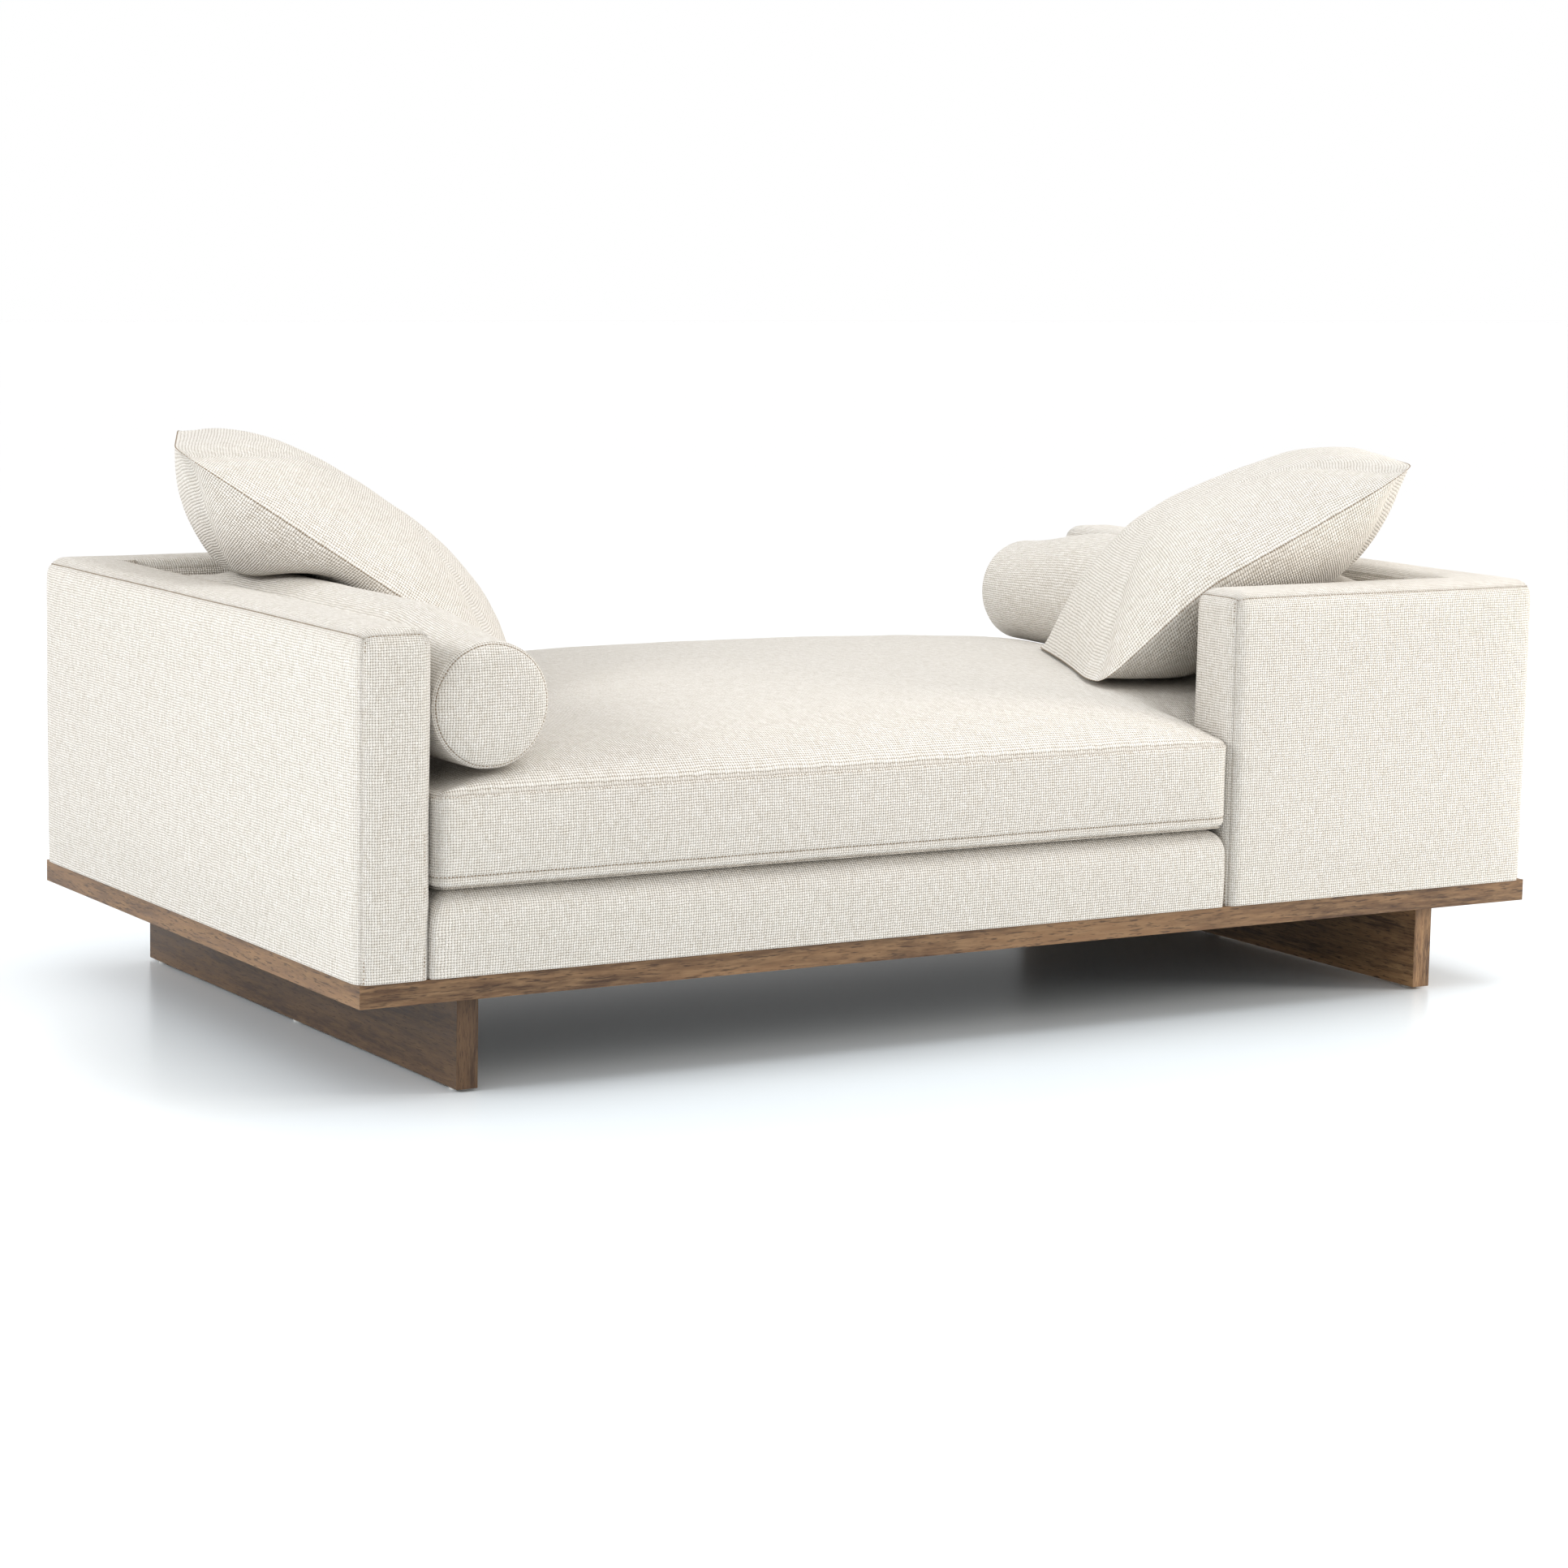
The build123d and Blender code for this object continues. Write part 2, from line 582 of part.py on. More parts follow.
def pillows():
    fill, cover = pillow((-715, 214, 680), turn=67, lean=38)
    save(fill, "left_pillow_fill")
    save(cover, "left_pillow_cover")
    fill, cover = pillow((-714, 199, 670), turn=61, lean=37)
    save(half_turn(fill), "right_pillow_fill")
    save(half_turn(cover), "right_pillow_cover")


plinth()
legs()
dust_cover()
deck_frame()
webbing()
deck_upholstery()
end_frame()
return_frame()
wall_padding()
wall_cover()
wall_bolts()
mattress()
bolsters()
pillows()
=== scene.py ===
import math
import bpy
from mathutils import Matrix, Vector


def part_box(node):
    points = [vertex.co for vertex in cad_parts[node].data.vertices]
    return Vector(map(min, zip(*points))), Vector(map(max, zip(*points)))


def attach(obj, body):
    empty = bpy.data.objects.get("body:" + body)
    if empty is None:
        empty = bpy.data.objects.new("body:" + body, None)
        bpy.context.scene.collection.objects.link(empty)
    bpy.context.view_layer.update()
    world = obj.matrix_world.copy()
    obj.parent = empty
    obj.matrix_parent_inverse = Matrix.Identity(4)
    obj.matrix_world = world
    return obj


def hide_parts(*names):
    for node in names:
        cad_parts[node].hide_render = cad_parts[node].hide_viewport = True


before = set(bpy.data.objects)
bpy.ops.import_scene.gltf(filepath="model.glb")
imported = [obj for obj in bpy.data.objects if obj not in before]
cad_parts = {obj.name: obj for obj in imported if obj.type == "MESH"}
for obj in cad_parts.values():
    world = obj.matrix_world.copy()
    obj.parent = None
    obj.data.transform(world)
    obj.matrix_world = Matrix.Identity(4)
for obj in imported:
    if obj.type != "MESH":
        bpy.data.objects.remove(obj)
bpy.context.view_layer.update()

from types import SimpleNamespace

import bpy
import numpy as np
from mathutils import Matrix, Vector, noise
from mathutils.kdtree import KDTree

# ---- places, from the frame, in metres
WALL_LOW, WALL_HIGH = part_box("left_wall_cover")
DECK_LOW, DECK_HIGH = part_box("deck_cover")
MATTRESS_LOW, MATTRESS_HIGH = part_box("mattress_cover")
BOLSTER_LOW, BOLSTER_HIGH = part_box("left_bolster_cover")

HALF_LENGTH = -WALL_LOW.x
HALF_WIDTH = -WALL_LOW.y
LEFT, FRONT, BACK = -HALF_LENGTH, -HALF_WIDTH, HALF_WIDTH
RETURN_END = WALL_HIGH.x
WALL_INNER = DECK_LOW.x
WALL_THICKNESS = HALF_LENGTH + WALL_INNER
RETURN_INNER = HALF_WIDTH - WALL_THICKNESS
DECK_HALF = DECK_HIGH.x
JOG = -WALL_HIGH.x  # where the plan of the deck and the mattress steps, on the right
BASE = DECK_LOW.z
DECK_TOP = DECK_HIGH.z
WALL_TOP = WALL_HIGH.z
MATTRESS_BOTTOM = MATTRESS_LOW.z
MATTRESS_SEAM = MATTRESS_BOTTOM + 0.133  # its boxed side is that high
MATTRESS_RISE = MATTRESS_HIGH.z - MATTRESS_SEAM
BOLSTER_RADIUS = (BOLSTER_HIGH.x - BOLSTER_LOW.x) / 2
BOLSTER_LENGTH = BOLSTER_HIGH.y - BOLSTER_LOW.y
BOLSTER_X = (BOLSTER_HIGH.x + BOLSTER_LOW.x) / 2
BOLSTER_Z = (BOLSTER_HIGH.z + BOLSTER_LOW.z) / 2

HALF_TURN = Matrix.Rotation(math.pi, 4, "Z")
TINY = 1e-6


# ---- shader helpers
class Nodes:
    """Builds one material's nodes with short calls."""

    def __init__(self, name):
        self.material = bpy.data.materials.new(name)
        self.material.use_nodes = True
        self.tree = self.material.node_tree
        self.shader = next(n for n in self.tree.nodes if n.type == "BSDF_PRINCIPLED")

    def join(self, value, socket):
        """Set a socket to a number, or link an output to it."""
        if isinstance(value, (int, float, tuple)):
            socket.default_value = value
        else:
            self.tree.links.new(value, socket)

    def new(self, kind, inputs=None, **settings):
        """Add a node, with inputs by their names or numbers."""
        node = self.tree.nodes.new("ShaderNode" + kind)
        for key, value in settings.items():
            setattr(node, key, value)
        for key, value in (inputs or {}).items():
            self.join(value, node.inputs[key])
        return node

    def place(self):
        return self.new("TexCoord").outputs["Object"]

    def split(self, vector):
        return self.new("SeparateXYZ", {0: vector}).outputs

    def math(self, operation, a, b=0.0):
        return self.new("Math", {0: a, 1: b}, operation=operation).outputs[0]

    def times(self, a, b):
        return self.math("MULTIPLY", a, b)

    def vector(self, x, y, z=0.0):
        return self.new("CombineXYZ", {0: x, 1: y, 2: z}).outputs[0]

    def noise(self, vector, scale, detail=2.0, roughness=0.5):
        inputs = {"Vector": vector, "Scale": scale, "Detail": detail, "Roughness": roughness}
        return self.new("TexNoise", inputs).outputs["Fac"]

    def spread(self, value, low, high, new_low=0.0, new_high=1.0):
        return self.new("MapRange", {0: value, 1: low, 2: high, 3: new_low, 4: new_high}).outputs[0]

    def vary(self, noise, new_low=0.0, new_high=1.0):
        """Stretch a noise, whose values mostly lie from 0.3 to 0.7, over new_low to new_high."""
        return self.spread(noise, 0.3, 0.7, new_low, new_high)

    def mix(self, factor, a, b, blend="MIX"):
        return self.new("Mix", {0: factor, 6: a, 7: b}, data_type="RGBA", blend_type=blend).outputs[2]

    def bump(self, height, distance, strength=1.0, normal=None):
        inputs = {"Strength": strength, "Distance": distance, "Height": height}
        if normal is not None:
            inputs["Normal"] = normal
        return self.new("Bump", inputs).outputs["Normal"]

    def finish(self, color, roughness, normal=None, **constants):
        self.join(color, self.shader.inputs["Base Color"])
        self.join(roughness, self.shader.inputs["Roughness"])
        if normal is not None:
            self.join(normal, self.shader.inputs["Normal"])
        for key, value in constants.items():
            self.shader.inputs[key.replace("_", " ")].default_value = value
        return self.material


# ---- materials
THREAD_PITCH = 0.0040
WEAVE_RELIEF = 0.0021
FUZZ_RELIEF = 0.00015
YARN_PALE = (0.900, 0.868, 0.820, 1)
YARN_BEIGE = (0.735, 0.693, 0.628, 1)
# painted shade: the colour of the low gaps between the threads
THREAD_GAP_SHADE = (0.250, 0.200, 0.142, 1)
# painted shade in the seam grooves, mixed in up to SEAM_DARKNESS
SEAM_SHADE = (0.180, 0.130, 0.085, 1)
SEAM_DARKNESS = 0.20
STITCH_DARK, STITCH_PALE = (0.22, 0.165, 0.11, 1), (0.36, 0.28, 0.20, 1)

WOOD_DARK = (0.092, 0.044, 0.018, 1)
WOOD_MIDDLE = (0.470, 0.270, 0.127, 1)
WOOD_PALE = (0.640, 0.410, 0.212, 1)
WOOD_PORES = (0.026, 0.012, 0.006, 1)
WOOD_EDGE = (0.06, 0.03, 0.016, 1)
LEFT_LEG_DARK_WOOD_AND_SHADE = 0.50  # that panel's wood is darker, and it also carries painted shade, as the fill light comes from the right
# painted light: the right leg panel, nearer the fill light, is brightened
RIGHT_LEG_PAINTED_LIGHT = 1.45

TIMBER_DARK, TIMBER_PALE = (0.52, 0.36, 0.19, 1), (0.72, 0.55, 0.34, 1)
PLASTIC_CLEAN, PLASTIC_WORN = (0.72, 0.70, 0.66, 1), (0.55, 0.53, 0.49, 1)
STEEL_DARK, STEEL_PALE = (0.50, 0.50, 0.51, 1), (0.62, 0.62, 0.62, 1)


def woven_cream():
    """Coarse plain weave in undyed yarns: round slubby threads over and under, with painted shade in the gaps
    between them and along the seams.
    """
    m = Nodes("woven_cream")
    uv = m.new("UVMap", uv_map="cloth").outputs[0]
    across, along, _ = m.split(uv)
    wander = m.spread(m.noise(uv, 60.0, 2.0), 0.0, 1.0, -0.4, 0.4)
    drift = m.spread(m.noise(uv, 45.0, 2.0), 0.0, 1.0, 0.4, -0.4)
    u = m.math("ADD", m.math("DIVIDE", across, THREAD_PITCH), wander)
    v = m.math("ADD", m.math("DIVIDE", along, THREAD_PITCH), drift)
    warp_row, weft_row = m.math("FLOOR", u), m.math("FLOOR", v)

    def slub(row, place, shift):
        """How fat one thread is at a place along it, different for each thread."""
        return m.noise(m.vector(m.times(row, 7.3), m.times(place, 0.22), shift), 1.0, 1.0)

    def thread(side, place, row, phase):
        """Height of one set of threads: round from side to side, rising and dipping from place to place."""
        rounded = m.math("ABSOLUTE", m.math("SINE", m.times(side, math.pi)))
        wave_at = m.math("ADD", m.math("ADD", place, row), phase)
        wave = m.math("SINE", m.times(wave_at, math.pi))
        lift = m.math("ADD", m.times(wave, 0.5), 0.5)
        return m.times(m.math("POWER", rounded, 0.7), lift)

    warp_slub, weft_slub = slub(warp_row, v, 0.0), slub(weft_row, u, 5.0)
    warp = m.times(thread(u, v, warp_row, 0.0), m.vary(warp_slub, 0.75, 1.15))
    weft = m.times(thread(v, u, weft_row, 1.0), m.vary(weft_slub, 0.75, 1.15))
    height = m.math("MAXIMUM", warp, weft)
    knot = m.noise(m.vector(warp_row, weft_row), 0.9, 1.0)
    paleness = m.math("ADD", m.vary(warp_slub, 0.0, 0.5), m.vary(knot, 0.0, 0.5))
    yarn = m.mix(paleness, YARN_BEIGE, YARN_PALE)
    # painted shade: the lower the weave, the more of the dark gap colour it takes
    color = m.mix(m.spread(height, 0.10, 0.55), THREAD_GAP_SHADE, yarn)
    cloud = m.noise(uv, 9.0, 2.0)
    color = m.mix(m.vary(cloud, 0.0, 0.06), color, YARN_BEIGE)
    # painted shade: the seam mark darkens the cloth towards SEAM_SHADE along the seams
    seam = m.new("Attribute", attribute_name="seam").outputs["Fac"]
    color = m.mix(m.times(seam, SEAM_DARKNESS), color, SEAM_SHADE)
    normal = m.bump(height, WEAVE_RELIEF, 1.0)
    normal = m.bump(m.noise(uv, 1500.0, 1.0), FUZZ_RELIEF, 0.6, normal)
    return m.finish(color, 0.92, normal, Sheen_Weight=0.08, Sheen_Roughness=0.5, Specular_IOR_Level=0.15)


def stained_wood(name, along, tone=1.0):
    """Walnut-brown stained timber with its grain along one axis; its ends show upright grain."""
    m = Nodes(name)
    x, y, z = m.split(m.place())
    facing = m.split(m.new("NewGeometry").outputs["Normal"])
    if along == "X":
        run, across, end = x, y, facing[0]
    else:
        run, across, end = y, x, facing[1]
    is_end = m.math("GREATER_THAN", m.math("ABSOLUTE", end), 0.7)

    def stretched(run_scale, across_scale, z_scale):
        parts = ((run, run_scale), (across, across_scale), (z, z_scale))
        return m.vector(*(m.times(value, scale) for value, scale in parts))

    choose = {0: is_end, 4: stretched(1.6, 17.0, 17.0), 5: stretched(17.0, 30.0, 2.4)}
    grain_at = m.new("Mix", choose, data_type="VECTOR").outputs[1]
    bend = m.times(m.noise(grain_at, 0.7, 2.0), 2.2)
    swirl = m.new("VectorMath", {0: grain_at, 1: m.vector(0.0, bend, bend)}, operation="ADD")
    figure = m.noise(swirl.outputs[0], 1.3, 5.0, 0.62)
    fine = m.noise(grain_at, 9.0, 4.0, 0.7)
    pores = m.noise(grain_at, 26.0, 2.0, 0.6)
    color = m.mix(m.spread(figure, 0.38, 0.62), WOOD_DARK, WOOD_MIDDLE)
    color = m.mix(m.spread(fine, 0.42, 0.66, 0.0, 0.75), color, WOOD_PALE)
    color = m.mix(m.spread(pores, 0.56, 0.66, 0.0, 0.8), color, WOOD_PORES)
    # tone brightens or darkens the whole piece; on the leg panels it holds painted light and shade, on the
    # left partly darker wood too
    color = m.mix(1.0, color, (tone, tone, tone, 1), "MULTIPLY")
    edge = m.new("NewGeometry").outputs["Pointiness"]
    color = m.mix(m.spread(edge, 0.52, 0.6, 0.0, 0.6), color, WOOD_EDGE)
    normal = m.bump(m.math("SUBTRACT", fine, m.times(pores, 0.5)), 0.0006, 0.35)
    return m.finish(color, m.vary(fine, 0.36, 0.52), normal,
                    Specular_IOR_Level=0.4, Coat_Weight=0.08, Coat_Roughness=0.35)


def speckled(name, scale, detail, dark, pale, roughness, relief=None, strength=1.0, span=(0.3, 0.7),
             noise_roughness=0.5, **constants):
    """A plain material between two shades of one fine noise. roughness is a number or a range."""
    m = Nodes(name)
    speckle = m.noise(m.place(), scale, detail, noise_roughness)
    color = m.mix(m.spread(speckle, *span), dark, pale)
    if isinstance(roughness, tuple):
        roughness = m.vary(speckle, *roughness)
    normal = m.bump(speckle, relief, strength) if relief else None
    return m.finish(color, roughness, normal, **constants)


def black_cloth(name, tone):
    """Thin felted cloth, as on the underside and in the webbing."""
    dark, pale = (0.6 * tone, 0.6 * tone, 0.62 * tone, 1), (tone, tone, tone, 1)
    return speckled(name, 900.0, 2.0, dark, pale, 0.9, 0.0004, 0.6)


CLOTH = woven_cream()
THREAD = speckled("stitch_thread", 2600.0, 1.0, STITCH_DARK, STITCH_PALE, 0.8, 0.0002, 1.0, (0.35, 0.65),
                  Specular_IOR_Level=0.25)
DUST_CLOTH = black_cloth("dust_cloth", 0.02)


# ---- mesh helpers
def ease(t):
    """Go smoothly from 0 at 0 to 1 at 1."""
    t = np.clip(t, 0.0, 1.0)
    return t * t * (3 - 2 * t)


def between(t, low, high, ramp):
    """1 well inside low to high, easing to 0 over ramp at both ends."""
    return ease((t - low) / ramp) * ease((high - t) / ramp)


def bell(distance, width):
    """1 at no distance, falling away smoothly over width."""
    return np.exp(-((distance / width) ** 2))


def unevenness(points, wavelength, seed):
    """Smooth random heights between about -1 and 1 at each point."""
    shift = Vector((seed * 3.17, seed * 7.31, seed * 1.93))
    return np.array([noise.noise(Vector(p) / wavelength + shift) for p in points])


def waves(points, layers):
    """Sum of unevennesses, one for each layer's wavelength, seed and height."""
    return sum(unevenness(points, wavelength, seed) * height for wavelength, seed, height in layers)


def lines(low, high, coarse, *ends):
    """Grid lines from low to high about coarse apart, with the extra close lines of ends at each end."""
    near = [low + e for e in ends if e < (high - low) / 2]
    far = [high - e for e in reversed(ends) if e < (high - low) / 2]
    start = near[-1] if near else low
    stop = far[0] if far else high
    count = max(1, round((stop - start) / coarse))
    middle = list(np.linspace(start, stop, count + 1))
    return near[:-1] + middle + far[1:] if near else middle


def merge_lines(*groups):
    """Grid lines of several stretches in one row, each value once."""
    values = sorted(v for g in groups for v in g)
    kept = [values[0]]
    for v in values[1:]:
        if v - kept[-1] > TINY:
            kept.append(v)
    return kept


class Prism:
    """A closed upright quad mesh over the cells of an X and Y grid that keep() accepts.

    points holds the square-cornered places, which a shape then rounds and fills out. UVs are true
    sizes taken from the square places.
    """

    def __init__(self, xs, ys, zs, keep):
        self.points, self.faces, self.uvs, self.index = [], [], [], {}
        self.xs, self.ys, self.zs = xs, ys, zs
        cells = {
            (i, j) for i in range(len(xs) - 1) for j in range(len(ys) - 1)
            if keep((xs[i] + xs[i + 1]) / 2, (ys[j] + ys[j + 1]) / 2)
        }
        top = len(zs) - 1
        for i, j in sorted(cells):
            ring = [(i, j), (i + 1, j), (i + 1, j + 1), (i, j + 1)]
            self.face([(a, b, top) for a, b in ring], 2)
            self.face([(a, b, 0) for a, b in reversed(ring)], 2)
            for side, (x_step, y_step) in enumerate(((0, -1), (1, 0), (0, 1), (-1, 0))):
                if (i + x_step, j + y_step) not in cells:
                    a, b = ring[side], ring[(side + 1) % 4]
                    for k in range(top):
                        self.face([(*a, k), (*b, k), (*b, k + 1), (*a, k + 1)], 1 - side % 2)
        self.points = np.array(self.points)

    def node(self, key):
        if key not in self.index:
            i, j, k = key
            self.index[key] = len(self.points)
            self.points.append((self.xs[i], self.ys[j], self.zs[k]))
        return self.index[key]

    def face(self, keys, axis):
        nodes = [self.node(key) for key in keys]
        self.faces.append(nodes)
        keep = [a for a in range(3) if a != axis]
        self.uvs.append([[self.points[n][a] for a in keep] for n in nodes])


def mesh_piece(name, points, faces, uvs, material, body, seam=None, turn=None):
    """A finished object from arrays, smooth shaded, riding on a body."""
    mesh = bpy.data.meshes.new(name)
    mesh.from_pydata([tuple(p) for p in points], [], faces)
    if uvs is not None:
        layer = mesh.uv_layers.new(name="cloth")
        flat = np.array([uv for face in uvs for uv in face], np.float32)
        layer.data.foreach_set("uv", flat.ravel())
    if seam is not None:
        mark = mesh.attributes.new("seam", "FLOAT", "POINT")
        mark.data.foreach_set("value", np.array(seam, np.float32))
    mesh.materials.append(material)
    mesh.polygons.foreach_set("use_smooth", [True] * len(mesh.polygons))
    if turn is not None:
        mesh.transform(turn)
    mesh.update()
    piece = bpy.data.objects.new(name, mesh)
    bpy.context.scene.collection.objects.link(piece)
    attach(piece, body)
    return piece


def cloth_piece(name, points, faces, uvs, body, mark, turn=None):
    """A smooth piece of woven cover. mark says how much of a seam each point is, which sets its painted seam
    shade.
    """
    piece = mesh_piece(name, points, faces, uvs, CLOTH, body, mark, turn)
    modifier = piece.modifiers.new("smooth", "SUBSURF")
    modifier.levels = modifier.render_levels = 1
    return piece


STITCH_PITCH = 0.0058
STITCH_LENGTH = 0.0036
STITCH_RADIUS = 0.00055
STITCH_SIDES = 6


def stitches(name, paths, body, turn=None):
    """Rows of single stitches along paths of points, each stitch a small bead of thread."""
    points, faces = [], []
    sides = STITCH_SIDES
    for path in (np.array(p, float) for p in paths):
        steps = np.linalg.norm(np.diff(path, axis=0), axis=1)
        at = np.concatenate([[0.0], np.cumsum(steps)])
        for s in (np.arange(int(at[-1] / STITCH_PITCH)) + 0.5) * STITCH_PITCH:
            a, b = (Vector([np.interp(s + off, at, path[:, k]) for k in range(3)])
                    for off in (-STITCH_LENGTH / 2, STITCH_LENGTH / 2))
            side = (b - a).normalized().orthogonal()
            other = (b - a).normalized().cross(side)
            base = len(points)
            points.append(a)
            for part in (0.2, 0.8):
                for k in range(sides):
                    t = 2 * math.pi * k / sides
                    spoke = math.cos(t) * side + math.sin(t) * other
                    points.append(a.lerp(b, part) + STITCH_RADIUS * spoke)
            points.append(b)
            for k in range(sides):
                n = (k + 1) % sides
                faces.append([base, base + 1 + n, base + 1 + k])
                faces.append([base + 1 + k, base + 1 + n, base + 1 + sides + n, base + 1 + sides + k])
                faces.append([base + 1 + 2 * sides, base + 1 + sides + k, base + 1 + sides + n])
    return mesh_piece(name, points, faces, None, THREAD, body, turn=turn)


def from_core(points, low, high, radius):
    """The plan's core, radius inside each point's limits: its nearest place and the way out from it."""
    middle = (low + high) / 2
    core = np.clip(points[:, :2], np.minimum(low + radius, middle), np.maximum(high - radius, middle))
    return core, points[:, :2] - core


def round_off(points, low, high, radius, plan_power=2.0):
    """Round the square edges between sides and top. low and high hold each point's own X and Y limits.

    plan_power 2 rounds upright corners as much as the top edge, and a larger power keeps them sharper.
    """
    out = points.copy()
    core, away = from_core(points, low, high, radius)
    rise = np.maximum(points[:, 2] - (points[:, 2].max() - radius), 0.0)
    spread = (np.abs(away / radius) ** plan_power).sum(1) ** (1 / plan_power)
    size = np.maximum(np.hypot(spread, rise / radius), 1.0)
    out[:, :2] = core + away / size[:, None]
    out[:, 2] = points[:, 2] - rise + rise / size
    return out


def round_corner(points, corner, inward, radius):
    """Round one upright corner of a plan. inward holds the signs of the way into the piece."""
    out = points.copy()
    centre = np.array(corner) + np.array(inward) * radius
    away = (points[:, :2] - centre) * -np.array(inward)
    inside = (away > 0).all(1)
    size = np.maximum(np.linalg.norm(away, axis=1), 1e-9)
    squeeze = np.where(inside, np.maximum(away.max(1), 0) / size, 1.0)
    out[:, :2] = centre + away * squeeze[:, None] * -np.array(inward)
    return out


def distance_to_path(points, path):
    """Shortest distance from each point to a polyline."""
    best = np.full(len(points), 1e9)
    path = np.array(path, float)
    for a, b in zip(path, path[1:]):
        way = b - a
        t = np.clip(((points - a) @ way) / max(way @ way, 1e-12), 0, 1)
        best = np.minimum(best, np.linalg.norm(points - (a + t[:, None] * way), axis=1))
    return best


def normals_of(points, faces):
    """Smooth vertex normals of a quad mesh."""
    quads = np.array([f if len(f) == 4 else [*f, f[-1]] for f in faces])
    p = points[quads]
    face = np.cross(p[:, 2] - p[:, 0], p[:, 3] - p[:, 1])
    total = np.zeros_like(points)
    for k in range(4):
        np.add.at(total, quads[:, k], face)
    return total / np.maximum(np.linalg.norm(total, axis=1), 1e-12)[:, None]


def sew(points, faces, square, paths, depth, width, ridge):
    """Pull the cloth in along the seam paths, given in the square-cornered space, with a ridge beside each.

    Returns the new points and the seam mark, which paints shade into the groove.
    """
    normals = normals_of(points, faces)
    mark = np.zeros(len(points))
    move = np.zeros(len(points))
    for path in paths:
        d = distance_to_path(square, path)
        groove = bell(d, width)
        mark = np.maximum(mark, groove)
        move = move - depth * groove + ridge * bell(d - 3.2 * width, 1.8 * width)
    return points + normals * move[:, None], mark


def on_surface(piece_points, square, path, step=0.004):
    """Follow a seam path, given in the square-cornered space, over the finished surface."""
    path = np.array(path, float)
    result = []
    for a, b in zip(path, path[1:]):
        count = max(2, int(np.linalg.norm(b - a) / step))
        result += [a + (b - a) * t for t in np.linspace(0, 1, count, endpoint=False)]
    result.append(path[-1])
    tree = KDTree(len(square))
    for i, p in enumerate(square):
        tree.insert(p, i)
    tree.balance()
    placed = []
    for p in result:
        near = tree.find_n(p, 4)
        weights = np.array([1 / (d + 1e-5) for _, _, d in near])
        places = np.array([piece_points[i] for _, i, _ in near])
        offset = np.array([p - square[i] for _, i, _ in near])
        placed.append(((places + offset) * weights[:, None]).sum(0) / weights.sum())
    return placed


# ---- end walls with their returns
WALL_EDGE = 0.028
WALL_CORNER = 0.032
WALL_PUFF = 0.0055  # how far the big outer faces stand proud of their seams
WALL_END_PUFF = 0.0022  # the same for the narrow ends and the top
WALL_CELL, WALL_THIN_CELL = 0.025, 0.02
WALL_CLOSE = (0.0, 0.0015, 0.003, 0.0045, 0.006, 0.008, 0.011, 0.016, 0.022, 0.03)
WALL_FOOT = (0.0, 0.003, 0.006, 0.011, 0.02)
WALL_WAVES = ((0.16, 1, 0.0011), (0.045, 2, 0.00035))
WALL_SEAM = (0.0011, 0.0020, 0.0003)  # depth, width and the ridge beside it
WALL_TOPSTITCH = (0.0007, 0.0018, 0.0003)
SEAM_INSET = 0.0015  # from the square edge to the seam that runs along it
INNER_SEAM_DROP = 0.011  # the seam along the inner faces lies this far under the top
TOPSTITCH_INSET = 0.014


def wall_prism():
    """The square-cornered mesh of the left wall and its return."""
    xs = merge_lines(
        lines(LEFT, WALL_INNER, WALL_THIN_CELL, *WALL_CLOSE),
        lines(WALL_INNER, RETURN_END, WALL_CELL, *WALL_CLOSE),
    )
    ys = merge_lines(
        lines(FRONT, RETURN_INNER, WALL_CELL, *WALL_CLOSE),
        lines(RETURN_INNER, BACK, WALL_THIN_CELL, *WALL_CLOSE),
    )
    foot = [BASE + rise for rise in WALL_FOOT]
    zs = merge_lines(foot[:-1], lines(foot[-1], WALL_TOP, WALL_CELL, *WALL_CLOSE))
    return Prism(xs, ys, zs, lambda x, y: x < WALL_INNER or (y > RETURN_INNER and x < RETURN_END))


def wall_shape(body):
    """Round the wall's edges and let the padding stand proud between its seams."""
    x, y, z = body.points.T
    beyond_wall = x > WALL_INNER + TINY
    below_return = y < RETURN_INNER - TINY
    low = np.stack([np.full(len(x), LEFT), np.where(beyond_wall, RETURN_INNER, FRONT)], 1)
    high = np.stack([np.where(below_return, WALL_INNER, RETURN_END), np.full(len(x), BACK)], 1)
    points = round_off(body.points, low, high, WALL_EDGE)

    up = ease((z - BASE) / 0.10) * ease((WALL_TOP - z) / 0.06)
    along = between(y, FRONT, BACK, 0.09)
    points[:, 0] -= WALL_PUFF * up * along * (x < LEFT + TINY)
    reach = between(x, LEFT, RETURN_END, 0.09)
    points[:, 1] += WALL_PUFF * up * reach * (y > BACK - TINY)
    end = between(x, LEFT, WALL_INNER, 0.035)
    points[:, 1] -= WALL_END_PUFF * up * end * (y < FRONT + TINY)
    cap = between(y, RETURN_INNER, BACK, 0.035)
    points[:, 0] += WALL_END_PUFF * up * cap * (x > RETURN_END - TINY)
    top = (z > WALL_TOP - TINY) * np.minimum(
        ease(np.minimum(x - LEFT, high[:, 0] - x) / 0.04),
        ease(np.minimum(y - low[:, 1], BACK - y) / 0.04),
    )
    points[:, 2] += WALL_END_PUFF * top
    wave = waves(body.points, WALL_WAVES)
    points += normals_of(points, body.faces) * (wave * ease((z - BASE) / 0.05))[:, None]
    return round_corner(points, (LEFT, BACK), (1, -1), WALL_CORNER)


